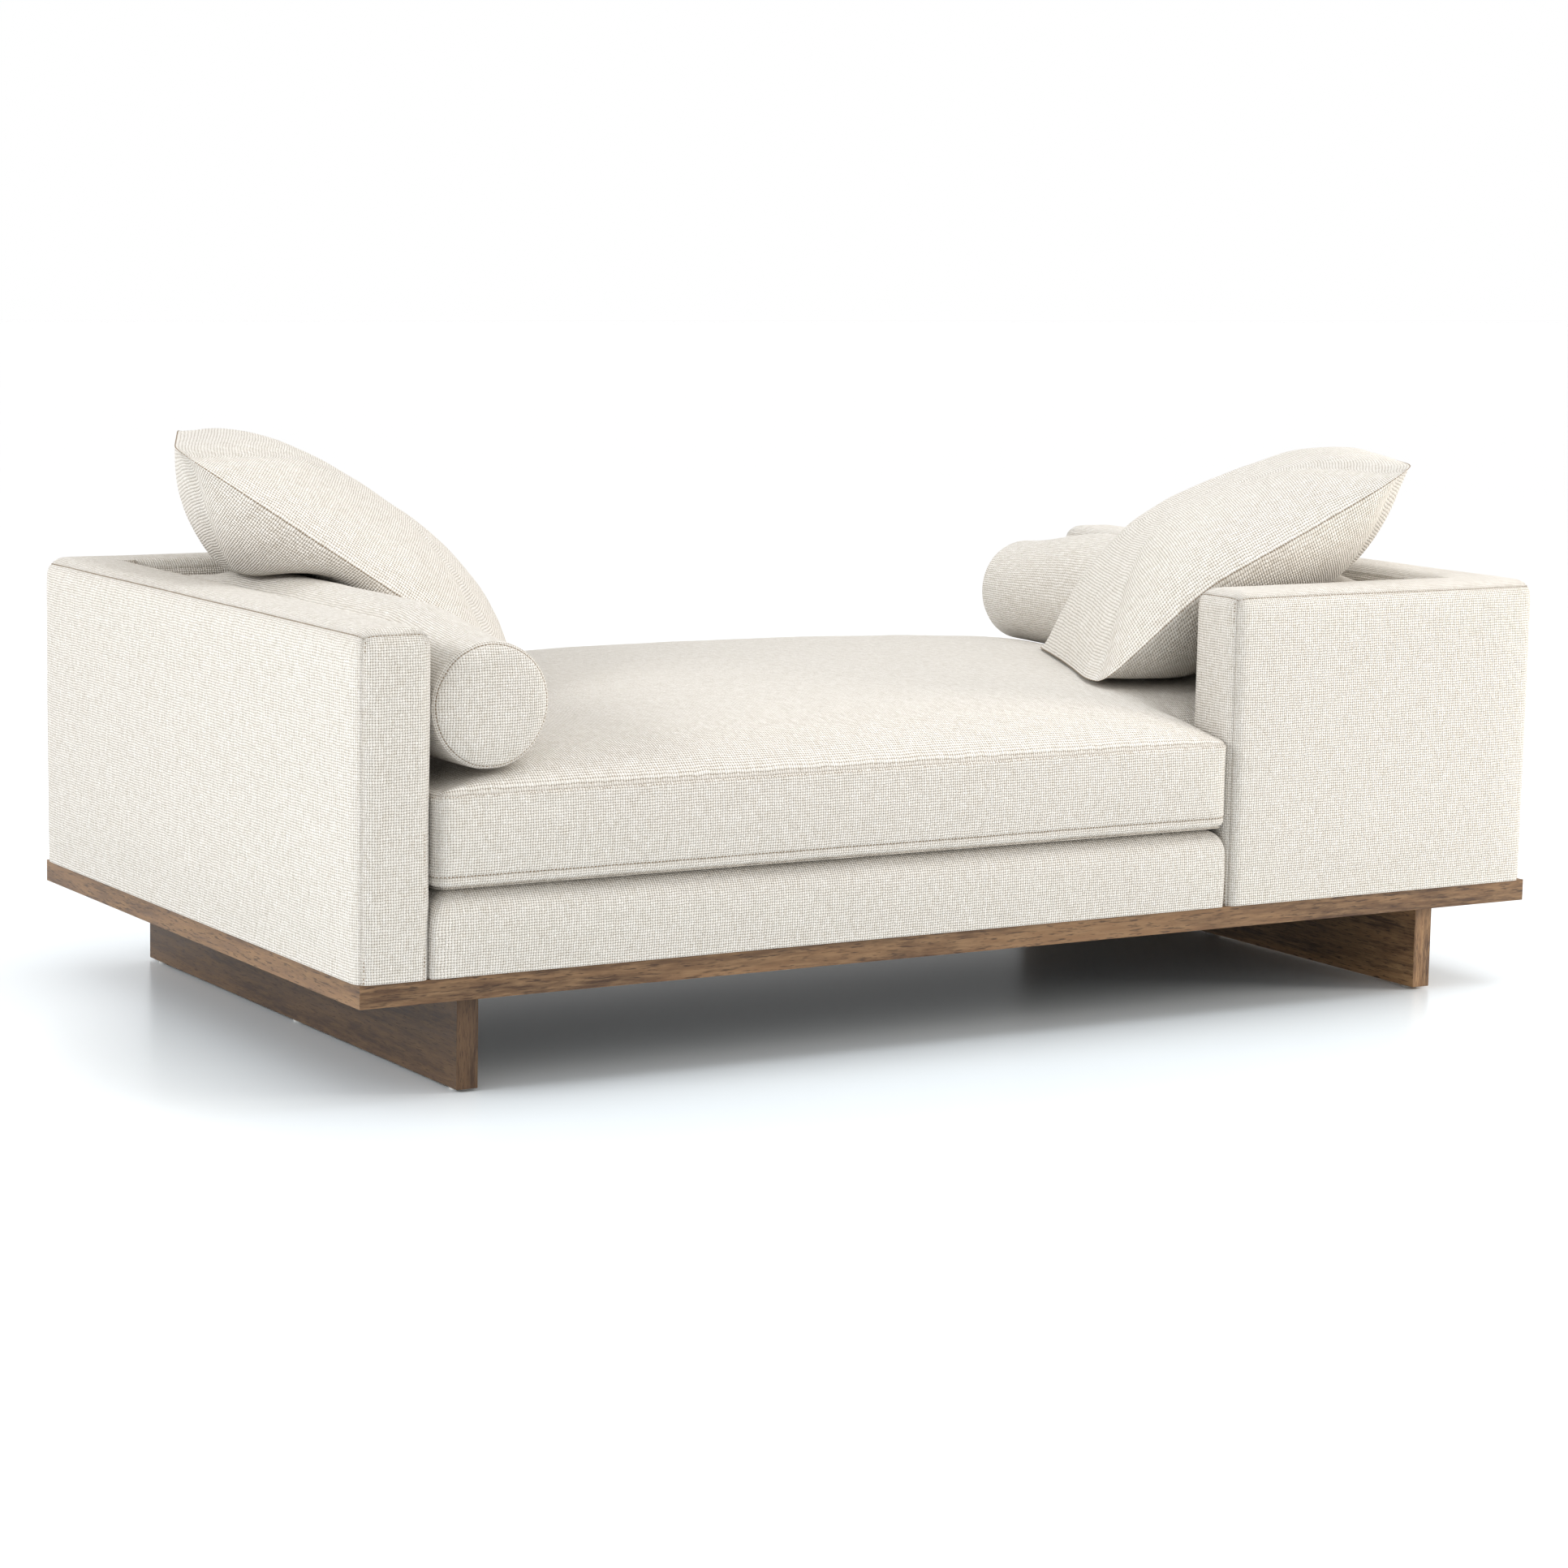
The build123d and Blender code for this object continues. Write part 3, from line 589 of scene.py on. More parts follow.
def wall_paths():
    """The left wall's seams, its topstitched lines and the lines that only carry stitches."""
    seam_z, inner_z = WALL_TOP - SEAM_INSET, WALL_TOP - INNER_SEAM_DROP

    def upright(x, y, top):
        return [(x, y, BASE), (x, y, top)]

    outer_plan = ((LEFT, FRONT), (LEFT, BACK), (RETURN_END, BACK), (RETURN_END, RETURN_INNER))
    outer = [(x, y, seam_z) for x, y in outer_plan]
    inner_plan = ((WALL_INNER, FRONT), (WALL_INNER, RETURN_INNER), (RETURN_END, RETURN_INNER))
    inner = [(x, y, inner_z) for x, y in inner_plan]
    front_top = [(LEFT, FRONT, seam_z), (WALL_INNER, FRONT, seam_z)]
    uprights = [upright(LEFT + SEAM_INSET, FRONT, seam_z), upright(RETURN_END, BACK - SEAM_INSET, seam_z)]
    topstitch = [
        upright(WALL_INNER - TOPSTITCH_INSET, FRONT, WALL_TOP - 0.012),
        upright(RETURN_END, RETURN_INNER + TOPSTITCH_INSET, WALL_TOP - 0.012),
    ]
    low_end = WALL_TOP - 0.01
    beside = [upright(LEFT + 0.007, FRONT, low_end), upright(RETURN_END, BACK - 0.009, low_end)]
    return [outer, inner, front_top, *uprights], topstitch, [outer, front_top, *topstitch, *beside]


def wall_upholstery():
    """The tight cloth over an end wall and its return, built on the left and turned for the right."""
    body = wall_prism()
    points = wall_shape(body)
    seams, topstitch, stitched = wall_paths()
    points, mark = sew(points, body.faces, body.points, seams, *WALL_SEAM)
    points, topstitch_shade = sew(points, body.faces, body.points, topstitch, *WALL_TOPSTITCH)
    # the topstitched lines get a weaker painted seam shade
    mark = np.maximum(mark, 0.35 * topstitch_shade)
    rows = [on_surface(points, body.points, path) for path in stitched]

    for side, turn in (("left", None), ("right", HALF_TURN)):
        name = f"{side}_wall_upholstery"
        piece = cloth_piece(name, points, body.faces, body.uvs, "base", mark, turn)
        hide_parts(f"{side}_wall_cover", f"{side}_end_padding", f"{side}_return_padding")
        stitches(f"{side}_wall_stitching", rows, "base", turn=turn)


# ---- the Z-shaped plan between the walls
def z_outline(jog_x, jog_y):
    """A test for the Z-shaped plan between the two walls."""
    return lambda x, y: not ((x < -jog_x and y > jog_y) or (x > jog_x and y < -jog_y))


def z_limits(x, y, half_x, half_y, jog_x, jog_y):
    """Each point's own X and Y limits inside the Z-shaped plan."""
    low_x, high_x = np.where(y > jog_y + TINY, -jog_x, -half_x), np.where(y < -jog_y - TINY, jog_x, half_x)
    low_y, high_y = np.where(x > jog_x + TINY, -jog_y, -half_y), np.where(x < -jog_x - TINY, jog_y, half_y)
    return np.stack([low_x, low_y], 1), np.stack([high_x, high_y], 1)


def jogged_lines(half, jog, coarse, close):
    """Grid lines from -half to half, closer together at the ends and where the plan steps."""
    stops = (-half, -jog, jog, half)
    return merge_lines(*(lines(low, high, coarse, *close) for low, high in zip(stops, stops[1:])))


# ---- the fixed deck
DECK_EDGE = 0.036
DECK_LAP = 0.009
DECK_PUFF = 0.003
DECK_CELL, DECK_UPRIGHT_CELL = 0.03, 0.02
DECK_CLOSE = (0.0, 0.003, 0.007, 0.012, 0.018, 0.026, 0.036, 0.05)
DECK_WAVES = ((0.13, 3, 0.0014), (0.04, 4, 0.0004))


def deck_upholstery():
    """The pulled cloth over the deck. Its ends lap a little over the rounded edges of the walls."""
    xs = jogged_lines(DECK_HALF, JOG, DECK_CELL, DECK_CLOSE)
    ys = jogged_lines(HALF_WIDTH, RETURN_INNER, DECK_CELL, DECK_CLOSE)
    zs = lines(BASE, DECK_TOP, DECK_UPRIGHT_CELL, *DECK_CLOSE)
    body = Prism(xs, ys, zs, z_outline(JOG, RETURN_INNER))
    x, y, z = body.points.T
    low, high = z_limits(x, y, DECK_HALF, HALF_WIDTH, JOG, RETURN_INNER)
    points = round_off(body.points, low, high, DECK_EDGE, 5.0)

    front = bell(np.abs(y) - HALF_WIDTH, 0.02)
    lap = bell(np.abs(x) - DECK_HALF, 0.02) * front * (np.abs(y) > HALF_WIDTH - 0.03)
    side = np.where(x < 0, -1.0, 1.0)
    facing = (x * y) > 0
    points[:, 0] += side * DECK_LAP * lap * facing * (1 - ease((z - DECK_TOP + 0.06) / 0.06))
    full = between(z, BASE, DECK_TOP, 0.05)
    at_edge = np.abs(np.abs(y) - HALF_WIDTH) < TINY
    points[:, 1] += np.sign(y) * DECK_PUFF * full * at_edge
    wave = waves(body.points, DECK_WAVES)
    points += normals_of(points, body.faces) * (wave * ease((z - BASE) / 0.04))[:, None]

    unmarked = np.zeros(len(points))
    piece = cloth_piece("deck_upholstery", points, body.faces, body.uvs, "base", unmarked)
    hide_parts("deck_cover", "deck_pad")


# ---- mattress
MATTRESS_GAP = 0.0015  # between it and the walls
MATTRESS_ROLL = 0.016  # height of the rolled lower edge
MATTRESS_CORNER = 0.024
MATTRESS_BELLY = 0.0055
MATTRESS_CELL, MATTRESS_UPRIGHT_CELL = 0.022, 0.012
MATTRESS_CLOSE = (0.0, 0.002, 0.004, 0.007, 0.012, 0.02, 0.03, 0.045)
MATTRESS_WAVES = ((0.22, 5, 0.0028), (0.07, 6, 0.0009))
MATTRESS_PUCKER = ((0.035, 7, 0.0008), )
TOP_SEAM = (0.0020, 0.0022, 0.0014)
LOWER_SEAM = (0.0012, 0.0022, 0.0004)
TOP_STITCH_DROP = 0.0035
LOWER_STITCH_RISE = 0.001

MATTRESS_X, MATTRESS_Y = DECK_HALF - MATTRESS_GAP, HALF_WIDTH
MATTRESS_JOG_X, MATTRESS_JOG_Y = JOG - MATTRESS_GAP, RETURN_INNER - MATTRESS_GAP
MATTRESS_FOOT = MATTRESS_BOTTOM + MATTRESS_ROLL


def mattress_crown(x, y):
    """Rise of the crown above the top seam: quick over the long edges, slow from the ends."""
    across = 1 - np.exp(-np.maximum(MATTRESS_Y - np.abs(y), 0) ** 0.8 / 0.085 ** 0.8)
    along = 1 - np.exp(-np.maximum(MATTRESS_X - np.abs(x), 0) ** 1.05 / 0.27 ** 1.05)
    a, b = np.maximum(across, 1e-3), np.maximum(along, 1e-3)
    return (a ** -4 + b ** -4 - 1) ** -0.25 * MATTRESS_RISE


def mattress_prism():
    """The square-cornered mesh of the mattress."""
    xs = jogged_lines(MATTRESS_X, MATTRESS_JOG_X, MATTRESS_CELL, MATTRESS_CLOSE)
    ys = jogged_lines(MATTRESS_Y, MATTRESS_JOG_Y, MATTRESS_CELL, MATTRESS_CLOSE)
    zs = merge_lines(
        [MATTRESS_BOTTOM + rise for rise in (0.0, 0.004, 0.009, 0.013, 0.0145)],
        [MATTRESS_FOOT, MATTRESS_FOOT + 0.0015],
        lines(MATTRESS_FOOT + 0.004, MATTRESS_SEAM, MATTRESS_UPRIGHT_CELL, 0.0, 0.0015, 0.003, 0.006),
    )
    return Prism(xs, ys, zs, z_outline(MATTRESS_JOG_X, MATTRESS_JOG_Y))


def mattress_top(x, y, notch):
    """Height of the top: a crown that sinks at the two notches of the plan and under the bolsters."""
    rise = mattress_crown(x, y)
    rise *= 1 - np.exp(-(np.maximum(notch, 0) / 0.05) ** 0.8)
    off = np.abs(np.abs(x) - abs(BOLSTER_X))
    round_part = np.sqrt(np.maximum(BOLSTER_RADIUS ** 2 - np.minimum(off, BOLSTER_RADIUS) ** 2, 0))
    dent = BOLSTER_Z - round_part - 0.002
    top = MATTRESS_SEAM + rise
    sharp = 0.004
    blended = -sharp * np.log(np.exp(-top / sharp) + np.exp(-dent / sharp))
    return np.where(off < BOLSTER_RADIUS * 0.98, blended, top)


def mattress_shape(body):
    """Round the corners, raise the top, fill out the sides and roll the lower edge under."""
    square = body.points
    x, y, z = square.T
    low, high = z_limits(x, y, MATTRESS_X, MATTRESS_Y, MATTRESS_JOG_X, MATTRESS_JOG_Y)
    points = square.copy()
    core, away = from_core(square, low, high, MATTRESS_CORNER)
    reach = np.maximum(np.linalg.norm(away, axis=1), 1e-9)
    largest = np.abs(away).max(1)
    points[:, :2] = core + away * (largest / reach)[:, None]

    # how far in from the outline each point is
    notch = np.minimum(
        np.hypot(np.maximum(MATTRESS_JOG_X - x, 0), np.maximum(y + MATTRESS_JOG_Y, 0)),
        np.hypot(np.maximum(MATTRESS_JOG_X + x, 0), np.maximum(MATTRESS_JOG_Y - y, 0)),
    )
    edge = np.minimum(np.minimum(MATTRESS_X - np.abs(x), MATTRESS_Y - np.abs(y)), notch)
    is_top = z > MATTRESS_SEAM - TINY
    points[:, 2] = np.where(is_top, mattress_top(x, y, notch), z)

    # the sides fill out between the seams where no wall is beside them
    side_height = MATTRESS_SEAM - MATTRESS_BOTTOM - MATTRESS_ROLL
    belly = np.sin(math.pi * np.clip((z - MATTRESS_BOTTOM - MATTRESS_ROLL) / side_height, 0, 1)) ** 0.7
    open_side = (x * y > 0) | (np.abs(x) < MATTRESS_JOG_X)
    on_long = (np.abs(np.abs(y) - MATTRESS_Y) < TINY) & open_side
    ends = ease(np.minimum(x - low[:, 0], high[:, 0] - x) / 0.05)
    points[:, 1] += np.where(on_long, np.sign(y) * MATTRESS_BELLY * belly * ends, 0)

    # the lower edge rolls under
    r = MATTRESS_ROLL * 0.75
    below = np.clip((MATTRESS_BOTTOM + r - z) / r, 0, 1)
    inset = r * (1 - np.sqrt(np.maximum(1 - below ** 2, 0)))
    at_outline = ~is_top & (largest > MATTRESS_CORNER - TINY)
    points[:, :2] -= np.where(at_outline, inset, 0)[:, None] * (away / reach[:, None])

    wave = waves(square, MATTRESS_WAVES)
    points[:, 2] += np.where(is_top, wave * ease(edge / 0.03), 0)
    pucker = waves(square * np.array([1, 1, 0]), MATTRESS_PUCKER)
    move = np.where(is_top, pucker * np.exp(-edge / 0.04), pucker + 0.5 * wave)
    return points + normals_of(points, body.faces) * move[:, None]


def mattress_round(level):
    """The mattress's outline at one level, as a closed path."""
    half = [
        (-MATTRESS_X, -MATTRESS_Y), (MATTRESS_JOG_X, -MATTRESS_Y),
        (MATTRESS_JOG_X, -MATTRESS_JOG_Y), (MATTRESS_X, -MATTRESS_JOG_Y),
    ]
    plan = half + [(-x, -y) for x, y in half] + half[:1]
    return [(x, y, level) for x, y in plan]


def mattress():
    """The thick loose mattress: boxed sides, a top seam, a crowned top and a rolled lower edge."""
    body = mattress_prism()
    square = body.points
    points = mattress_shape(body)
    points, mark = sew(points, body.faces, square, [mattress_round(MATTRESS_SEAM)], *TOP_SEAM)
    points, lower = sew(points, body.faces, square, [mattress_round(MATTRESS_FOOT)], *LOWER_SEAM)
    # the lower seam gets a weaker painted seam shade
    mark = np.maximum(mark, 0.5 * lower)
    levels = (MATTRESS_SEAM - TOP_STITCH_DROP, MATTRESS_FOOT + LOWER_STITCH_RISE)
    rows = [on_surface(points, square, mattress_round(level)) for level in levels]
    piece = cloth_piece("mattress_cushion", points, body.faces, body.uvs, "mattress", mark)
    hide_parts("mattress_cover", "mattress_wrap", "mattress_core")
    stitches("mattress_stitching", rows, "mattress")


# ---- bolsters
BOLSTER_SWELL = 0.030  # how much higher its middle stands than its ends
BOLSTER_SIDES = 96
BOLSTER_RIM = 0.009  # radius of the turn from cap to round
BOLSTER_DOME = 0.007
BOLSTER_WAIST = 0.0025  # how far the round is gathered in beside the caps
BOLSTER_WAVES = ((0.11, 8, 0.0022), (0.035, 9, 0.0006))
CAP_RADII = (0.006, 0.02, 0.035, 0.05, 0.063, 0.073, 0.079, 0.083, 0.0855, 0.0875)
RIM_SEAM_DEPTH, RIM_SEAM_WIDTH = 0.0018, 0.002


def bolster_swell(y):
    """Extra height of a bolster's upper half: squeezed up between the wall and the pillow."""
    from_end = np.minimum(y - BOLSTER_LOW.y, BOLSTER_HIGH.y - y)
    return BOLSTER_SWELL * ease((from_end - 0.02) / 0.26)


def bolster_profile():
    """Radius and place along the bolster of each ring, with the number of rings on a cap."""
    flat = BOLSTER_RADIUS - BOLSTER_RIM
    bend = np.linspace(0.35, math.pi / 2, 5)
    turn_in = [(flat + BOLSTER_RIM * math.sin(t), BOLSTER_RIM - BOLSTER_RIM * math.cos(t)) for t in bend]
    cap = [(q, BOLSTER_DOME * (q / flat) ** 4 - 0.001) for q in CAP_RADII if q < turn_in[0][0] - 0.002]
    rim = [(q, d + BOLSTER_DOME) for q, d in turn_in]
    inner = [(BOLSTER_RADIUS, d) for d in np.linspace(rim[-1][1] + 0.012, BOLSTER_LENGTH / 2, 22)]
    half = cap + rim + inner
    return half + [(q, BOLSTER_LENGTH - d) for q, d in reversed(half[:-1])], len(cap)


def bolster_mesh(rings):
    """A closed round mesh: its points, the radius and place of each one's ring, its faces and UVs."""
    flat = BOLSTER_RADIUS - BOLSTER_RIM
    arcs = [0.0]
    for (q0, d0), (q1, d1) in zip(rings[:-1], rings[1:]):
        arcs.append(arcs[-1] + math.hypot(q1 - q0, d1 - d0))
    points, ring_of, faces, uvs = [], [], [], []
    for q, d in rings:
        for k in range(BOLSTER_SIDES):
            a = 2 * math.pi * k / BOLSTER_SIDES
            points.append((BOLSTER_X + q * math.sin(a), BOLSTER_LOW.y + d, BOLSTER_Z - q * math.cos(a)))
            ring_of.append((q, d))

    def cap_uvs(ids):
        return [(points[i][0], points[i][2]) for i in ids]

    for row in range(len(rings) - 1):
        on_cap = rings[row][0] < flat or rings[row + 1][0] < flat
        for k in range(BOLSTER_SIDES):
            n = (k + 1) % BOLSTER_SIDES
            here, there = row * BOLSTER_SIDES, (row + 1) * BOLSTER_SIDES
            faces.append([here + k, here + n, there + n, there + k])
            near, far = (2 * math.pi * BOLSTER_RADIUS * step / BOLSTER_SIDES for step in (k, k + 1))
            rolled = [(near, arcs[row]), (far, arcs[row]), (far, arcs[row + 1]), (near, arcs[row + 1])]
            uvs.append(cap_uvs(faces[-1]) if on_cap else rolled)
    for row, beyond in ((0, -0.0002), (len(rings) - 1, 0.0002)):
        centre, d = len(points), rings[row][1]
        points.append((BOLSTER_X, BOLSTER_LOW.y + d + beyond, BOLSTER_Z))
        ring_of.append((0, d))
        for k in range(BOLSTER_SIDES):
            here, next_one = row * BOLSTER_SIDES + k, row * BOLSTER_SIDES + (k + 1) % BOLSTER_SIDES
            faces.append([next_one, here, centre] if row == 0 else [here, next_one, centre])
            uvs.append(cap_uvs(faces[-1]))
    return np.array(points), np.array(ring_of), faces, uvs


def bolster_shape(points, radius, from_end):
    """Soft, uneven filling, gathered in near the caps, swollen upwards and flattened where it rests."""
    slack = waves(points, BOLSTER_WAVES)
    waist = -BOLSTER_WAIST * np.exp(-from_end / 0.03)
    above = np.clip((points[:, 2] - BOLSTER_Z) / BOLSTER_RADIUS, 0, 1)
    points[:, 2] += bolster_swell(points[:, 1]) * above
    radial = points - np.array([BOLSTER_X, 0, BOLSTER_Z])
    radial[:, 1] = 0
    size = np.maximum(np.linalg.norm(radial, axis=1), 1e-9)
    off_cap = ease((radius - 0.05) / 0.04)
    points += radial / size[:, None] * ((slack + waist) * off_cap)[:, None]
    floor = BOLSTER_Z - BOLSTER_RADIUS + 0.003
    points[:, 2] = np.maximum(points[:, 2], floor + 0.1 * (points[:, 2] - floor))
    points[:, 2] = np.maximum(points[:, 2], MATTRESS_SEAM)


def bolsters():
    """Round bolsters with sewn, slightly domed end caps, resting on the mattress."""
    rings, cap_rings = bolster_profile()
    points, ring_of, faces, uvs = bolster_mesh(rings)
    radius = ring_of[:, 0]
    from_end = np.minimum(ring_of[:, 1], BOLSTER_LENGTH - ring_of[:, 1])
    bolster_shape(points, radius, from_end)

    seam_radius, seam_place = rings[cap_rings + 1]
    # the rim seam's groove, which is also its painted shade
    mark = bell(np.abs(radius - seam_radius) + np.abs(from_end - seam_place), RIM_SEAM_WIDTH)
    normal = normals_of(points, faces)
    middle = np.array([BOLSTER_X, BOLSTER_LOW.y + BOLSTER_LENGTH / 2, BOLSTER_Z])
    outward = np.sign(((points - middle) * normal).sum(1).mean())
    points -= normal * outward * (RIM_SEAM_DEPTH * mark)[:, None]
    if outward < 0:
        faces = [list(reversed(f)) for f in faces]
        uvs = [list(reversed(u)) for u in uvs]
    rows = []
    for ring, beyond in ((cap_rings + 1, -0.0006), (len(rings) - cap_rings - 2, 0.0006)):
        first = ring * BOLSTER_SIDES
        row = [points[first + k] + np.array([0, beyond, 0]) for k in range(BOLSTER_SIDES)]
        rows.append(row + row[:1])

    for side, turn in (("left", None), ("right", HALF_TURN)):
        name = f"{side}_bolster"
        piece = cloth_piece(name, points, faces, uvs, name, mark, turn)
        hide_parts(f"{side}_bolster_cover", f"{side}_bolster_core")
        stitches(f"{side}_bolster_stitching", rows, f"{side}_bolster", turn=turn)


# ---- back pillows
PILLOW_SIDE = 0.616
PILLOW_CELL = 0.0115
PILLOW_RIM_LINES = (0.0, 0.0012, 0.003, 0.0065)
PILLOW_CORNER = 13  # the higher, the squarer its corners in plan
PILLOW_RELAX = 14  # rounds of smoothing where it rests on something
PILLOW_GAP = 0.0055  # between its mesh and what it rests on
PILLOW_STEEP = 2.5  # it is lifted over an edge up to this many times the way it could move sideways
FOLD_SOFTNESS = 0.03
GATHER_HEIGHT, GATHER_PITCH = 0.0034, 0.040

# How each pillow is filled and how it lies; lengths in metres, angles in degrees. draw pulls the top
# corners together, thin takes depth from the top, back moves depth to the back, edge and power shape
# the swell from the seams, bend and fold curve it over what it leans on.
LEFT_PILLOW = SimpleNamespace(
    turn=66.6, lean=32.7, offset=(0.0113, 0.0055, 0.0256), width=0.986, height=0.997, thick=0.229, draw=0.139,
    thin=-0.15, edge=2.5, power=0.825, bend=0.0, back=0.17, fold=0.0, fold_at=-0.2, seed=11,
)
RIGHT_PILLOW = SimpleNamespace(
    turn=62.9, lean=25.6, offset=(0.0325, 0.0035, 0.0451), width=1.025, height=1.039, thick=0.239, draw=0.222,
    thin=0.138, edge=3.65, power=0.886, bend=-0.017, back=0.20, fold=0.134, fold_at=-0.227, seed=12,
)


def pillow_grid():
    """Two square faces sewn together round the rim: flat points with their side, faces, UVs and rim."""
    half = PILLOW_SIDE / 2
    row = np.array(lines(-half, half, PILLOW_CELL, *PILLOW_RIM_LINES))
    last = len(row) - 1
    index, grid, faces, uvs = {}, [], [], []
    for side in (1, -1):
        for i in range(last + 1):
            for j in range(last + 1):
                on_rim = i in (0, last) or j in (0, last)
                if side == -1 and on_rim:
                    index[i, j, side] = index[i, j, 1]
                    continue
                index[i, j, side] = len(grid)
                grid.append((row[i], row[j], 0.0 if on_rim else side))
    for side in (1, -1):
        for i in range(last):
            for j in range(last):
                corners = [(i, j), (i + 1, j), (i + 1, j + 1), (i, j + 1)]
                if side == -1:
                    corners.reverse()
                faces.append([index[a, b, side] for a, b in corners])
                uvs.append([(row[a], row[b] + side) for a, b in corners])
    rim = [index[i, 0, 1] for i in range(last)]
    rim += [index[last, j, 1] for j in range(last)]
    rim += [index[i, last, 1] for i in range(last, 0, -1)]
    rim += [index[0, j, 1] for j in range(last, 0, -1)]
    return np.array(grid), faces, uvs, rim


def pillow_form(plump, grid):
    """Stuff the cover, in its own frame: X along its foot, Y up, Z to the front."""
    half = PILLOW_SIDE / 2
    x, y, side = grid.T
    u, v = x / half, y / half
    reach = np.maximum(np.maximum(np.abs(u), np.abs(v)), 1e-6)
    plan = reach / (np.abs(u) ** PILLOW_CORNER + np.abs(v) ** PILLOW_CORNER + 1e-30) ** (1 / PILLOW_CORNER)
    plan = np.where(reach > 1e-5, plan, 1.0)
    share = ease((v + 0.33) / 1.33)
    fullness = np.clip((1 - np.abs(u) ** plump.edge) * (1 - np.abs(v) ** plump.edge), 0, 1) ** plump.power
    depth = fullness * plump.thick / 2 * (1 - plump.thin * share) * (1 - side * plump.back)
    below = plump.fold_at - v
    middle = plump.bend * (1 - v * v) - plump.fold * (below + np.sqrt(below ** 2 + FOLD_SOFTNESS)) / 2
    points = np.column_stack([
        x * plan * plump.width * (1 - plump.draw * share),
        y * plan * plump.height,
        middle + side * depth,
    ])

    # gathers run square to the nearest seam, and soft hollows lie across the faces
    to_side, to_end = half - np.abs(x), half - np.abs(y)
    edge = np.minimum(to_side, to_end)
    spots = np.column_stack([x, y, 0.3 * side])
    from_sides = unevenness(spots * np.array([0.12, 1, 1]), GATHER_PITCH, plump.seed)
    from_ends = unevenness(spots * np.array([1, 0.12, 1]), GATHER_PITCH, plump.seed + 20)
    gather = np.where(to_side < to_end, from_sides, from_ends) * ease(np.abs(to_side - to_end) / 0.03)
    near_seam = np.exp(-edge / 0.035) * ease(edge / 0.006)
    hollow = waves(spots, ((0.17, plump.seed + 40, 0.0065), (0.06, plump.seed + 60, 0.0020)))
    points[:, 2] += side * (gather * GATHER_HEIGHT * near_seam + hollow * ease(edge / 0.05))
    return points


def rest_against(points, faces):
    """Let the cloth give way softly where push_out() says it meets something."""
    edges = {tuple(sorted((f[i], f[(i + 1) % len(f)]))) for f in faces for i in range(len(f))}
    pairs = np.array(sorted(edges))
    counts = np.bincount(pairs.ravel(), minlength=len(points))
    move = np.zeros_like(points)
    for _ in range(PILLOW_RELAX):
        move = push_out(points + move) - points
        total = np.zeros_like(move)
        np.add.at(total, pairs[:, 0], move[pairs[:, 1]])
        np.add.at(total, pairs[:, 1], move[pairs[:, 0]])
        move = 0.35 * move + 0.65 * total / counts[:, None]
    return push_out(points + move)


def push_out(points):
    """Keep points of the left pillow off the left bolster, the left wall, its return and the mattress."""
    out = points.copy()
    dx, dz = out[:, 0] - BOLSTER_X, out[:, 2] - BOLSTER_Z
    stretch = np.where(dz > 0, 1 + bolster_swell(out[:, 1]) / BOLSTER_RADIUS, 1.0)
    size = np.maximum(np.hypot(dx, dz / stretch), 1e-9)
    reach = BOLSTER_RADIUS + PILLOW_GAP
    beside = (out[:, 1] < BOLSTER_HIGH.y + 0.005) & (size < reach)
    scale = np.where(beside, reach / size, 1.0)
    out[:, 0] = BOLSTER_X + dx * scale
    out[:, 2] = BOLSTER_Z + dz * scale

    up = WALL_TOP + PILLOW_GAP - out[:, 2]
    to_wall = WALL_INNER + PILLOW_GAP - out[:, 0]
    to_return = np.where(out[:, 0] < RETURN_END, out[:, 1] - (RETURN_INNER - PILLOW_GAP), -1.0)
    in_wall = (up > 0) & (to_wall > 0)
    in_return = (up > 0) & (to_return > 0) & ~in_wall
    over_wall, over_return = up <= PILLOW_STEEP * to_wall, up <= PILLOW_STEEP * to_return
    out[:, 2] += np.where(in_wall & over_wall, up, 0)
    out[:, 0] += np.where(in_wall & ~over_wall, to_wall, 0)
    out[:, 2] += np.where(in_return & over_return, up, 0)
    out[:, 1] -= np.where(in_return & ~over_return, to_return, 0)

    rise = mattress_crown(out[:, 0], out[:, 1])
    out[:, 2] = np.maximum(out[:, 2], MATTRESS_SEAM + rise + 0.004)
    return out


def pillow(side, plump, turned):
    """One plump pillow set down at its lean, with its top corners drawn together."""
    low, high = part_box(f"{side}_pillow_cover")
    centre = (low + high) / 2
    if turned:
        centre = HALF_TURN @ centre
    grid, faces, uvs, rim = pillow_grid()
    points = pillow_form(plump, grid)
    turn, lean = math.radians(plump.turn), math.radians(plump.lean)
    along = np.array([math.cos(turn), math.sin(turn), 0])
    up = np.array([-math.sin(turn) * math.cos(lean), math.cos(turn) * math.cos(lean), math.sin(lean)])
    out = np.cross(along, up)
    placed = np.array(centre) + np.array(plump.offset) + points @ np.array([along, up, out])
    placed = rest_against(placed, faces)
    mark = np.zeros(len(points))
    # painted seam shade along the sewn rim
    mark[rim] = 0.6
    normal = normals_of(placed, faces)
    body = f"{side}_pillow"
    matrix = HALF_TURN if turned else None
    piece = cloth_piece(body, placed, faces, uvs, body, mark, matrix)
    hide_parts(f"{side}_pillow_cover", f"{side}_pillow_fill")
    row = [placed[i] + 0.0002 * normal[i] for i in [*rim, rim[0]]]
    stitches(f"{side}_pillow_stitching", [row], body, turn=matrix)


# ---- the cloth under the deck
DUST_PLAY = 0.004  # between the cloth's edge and a leg panel
DUST_SAG = 0.004
DUST_FULL_SAG_WIDTH = 0.5  # a narrower cloth sags less
DUST_RIPPLE, DUST_RIPPLE_RATE = 0.0006, 90
DUST_DROP = 0.0004
DUST_CELL = 0.03


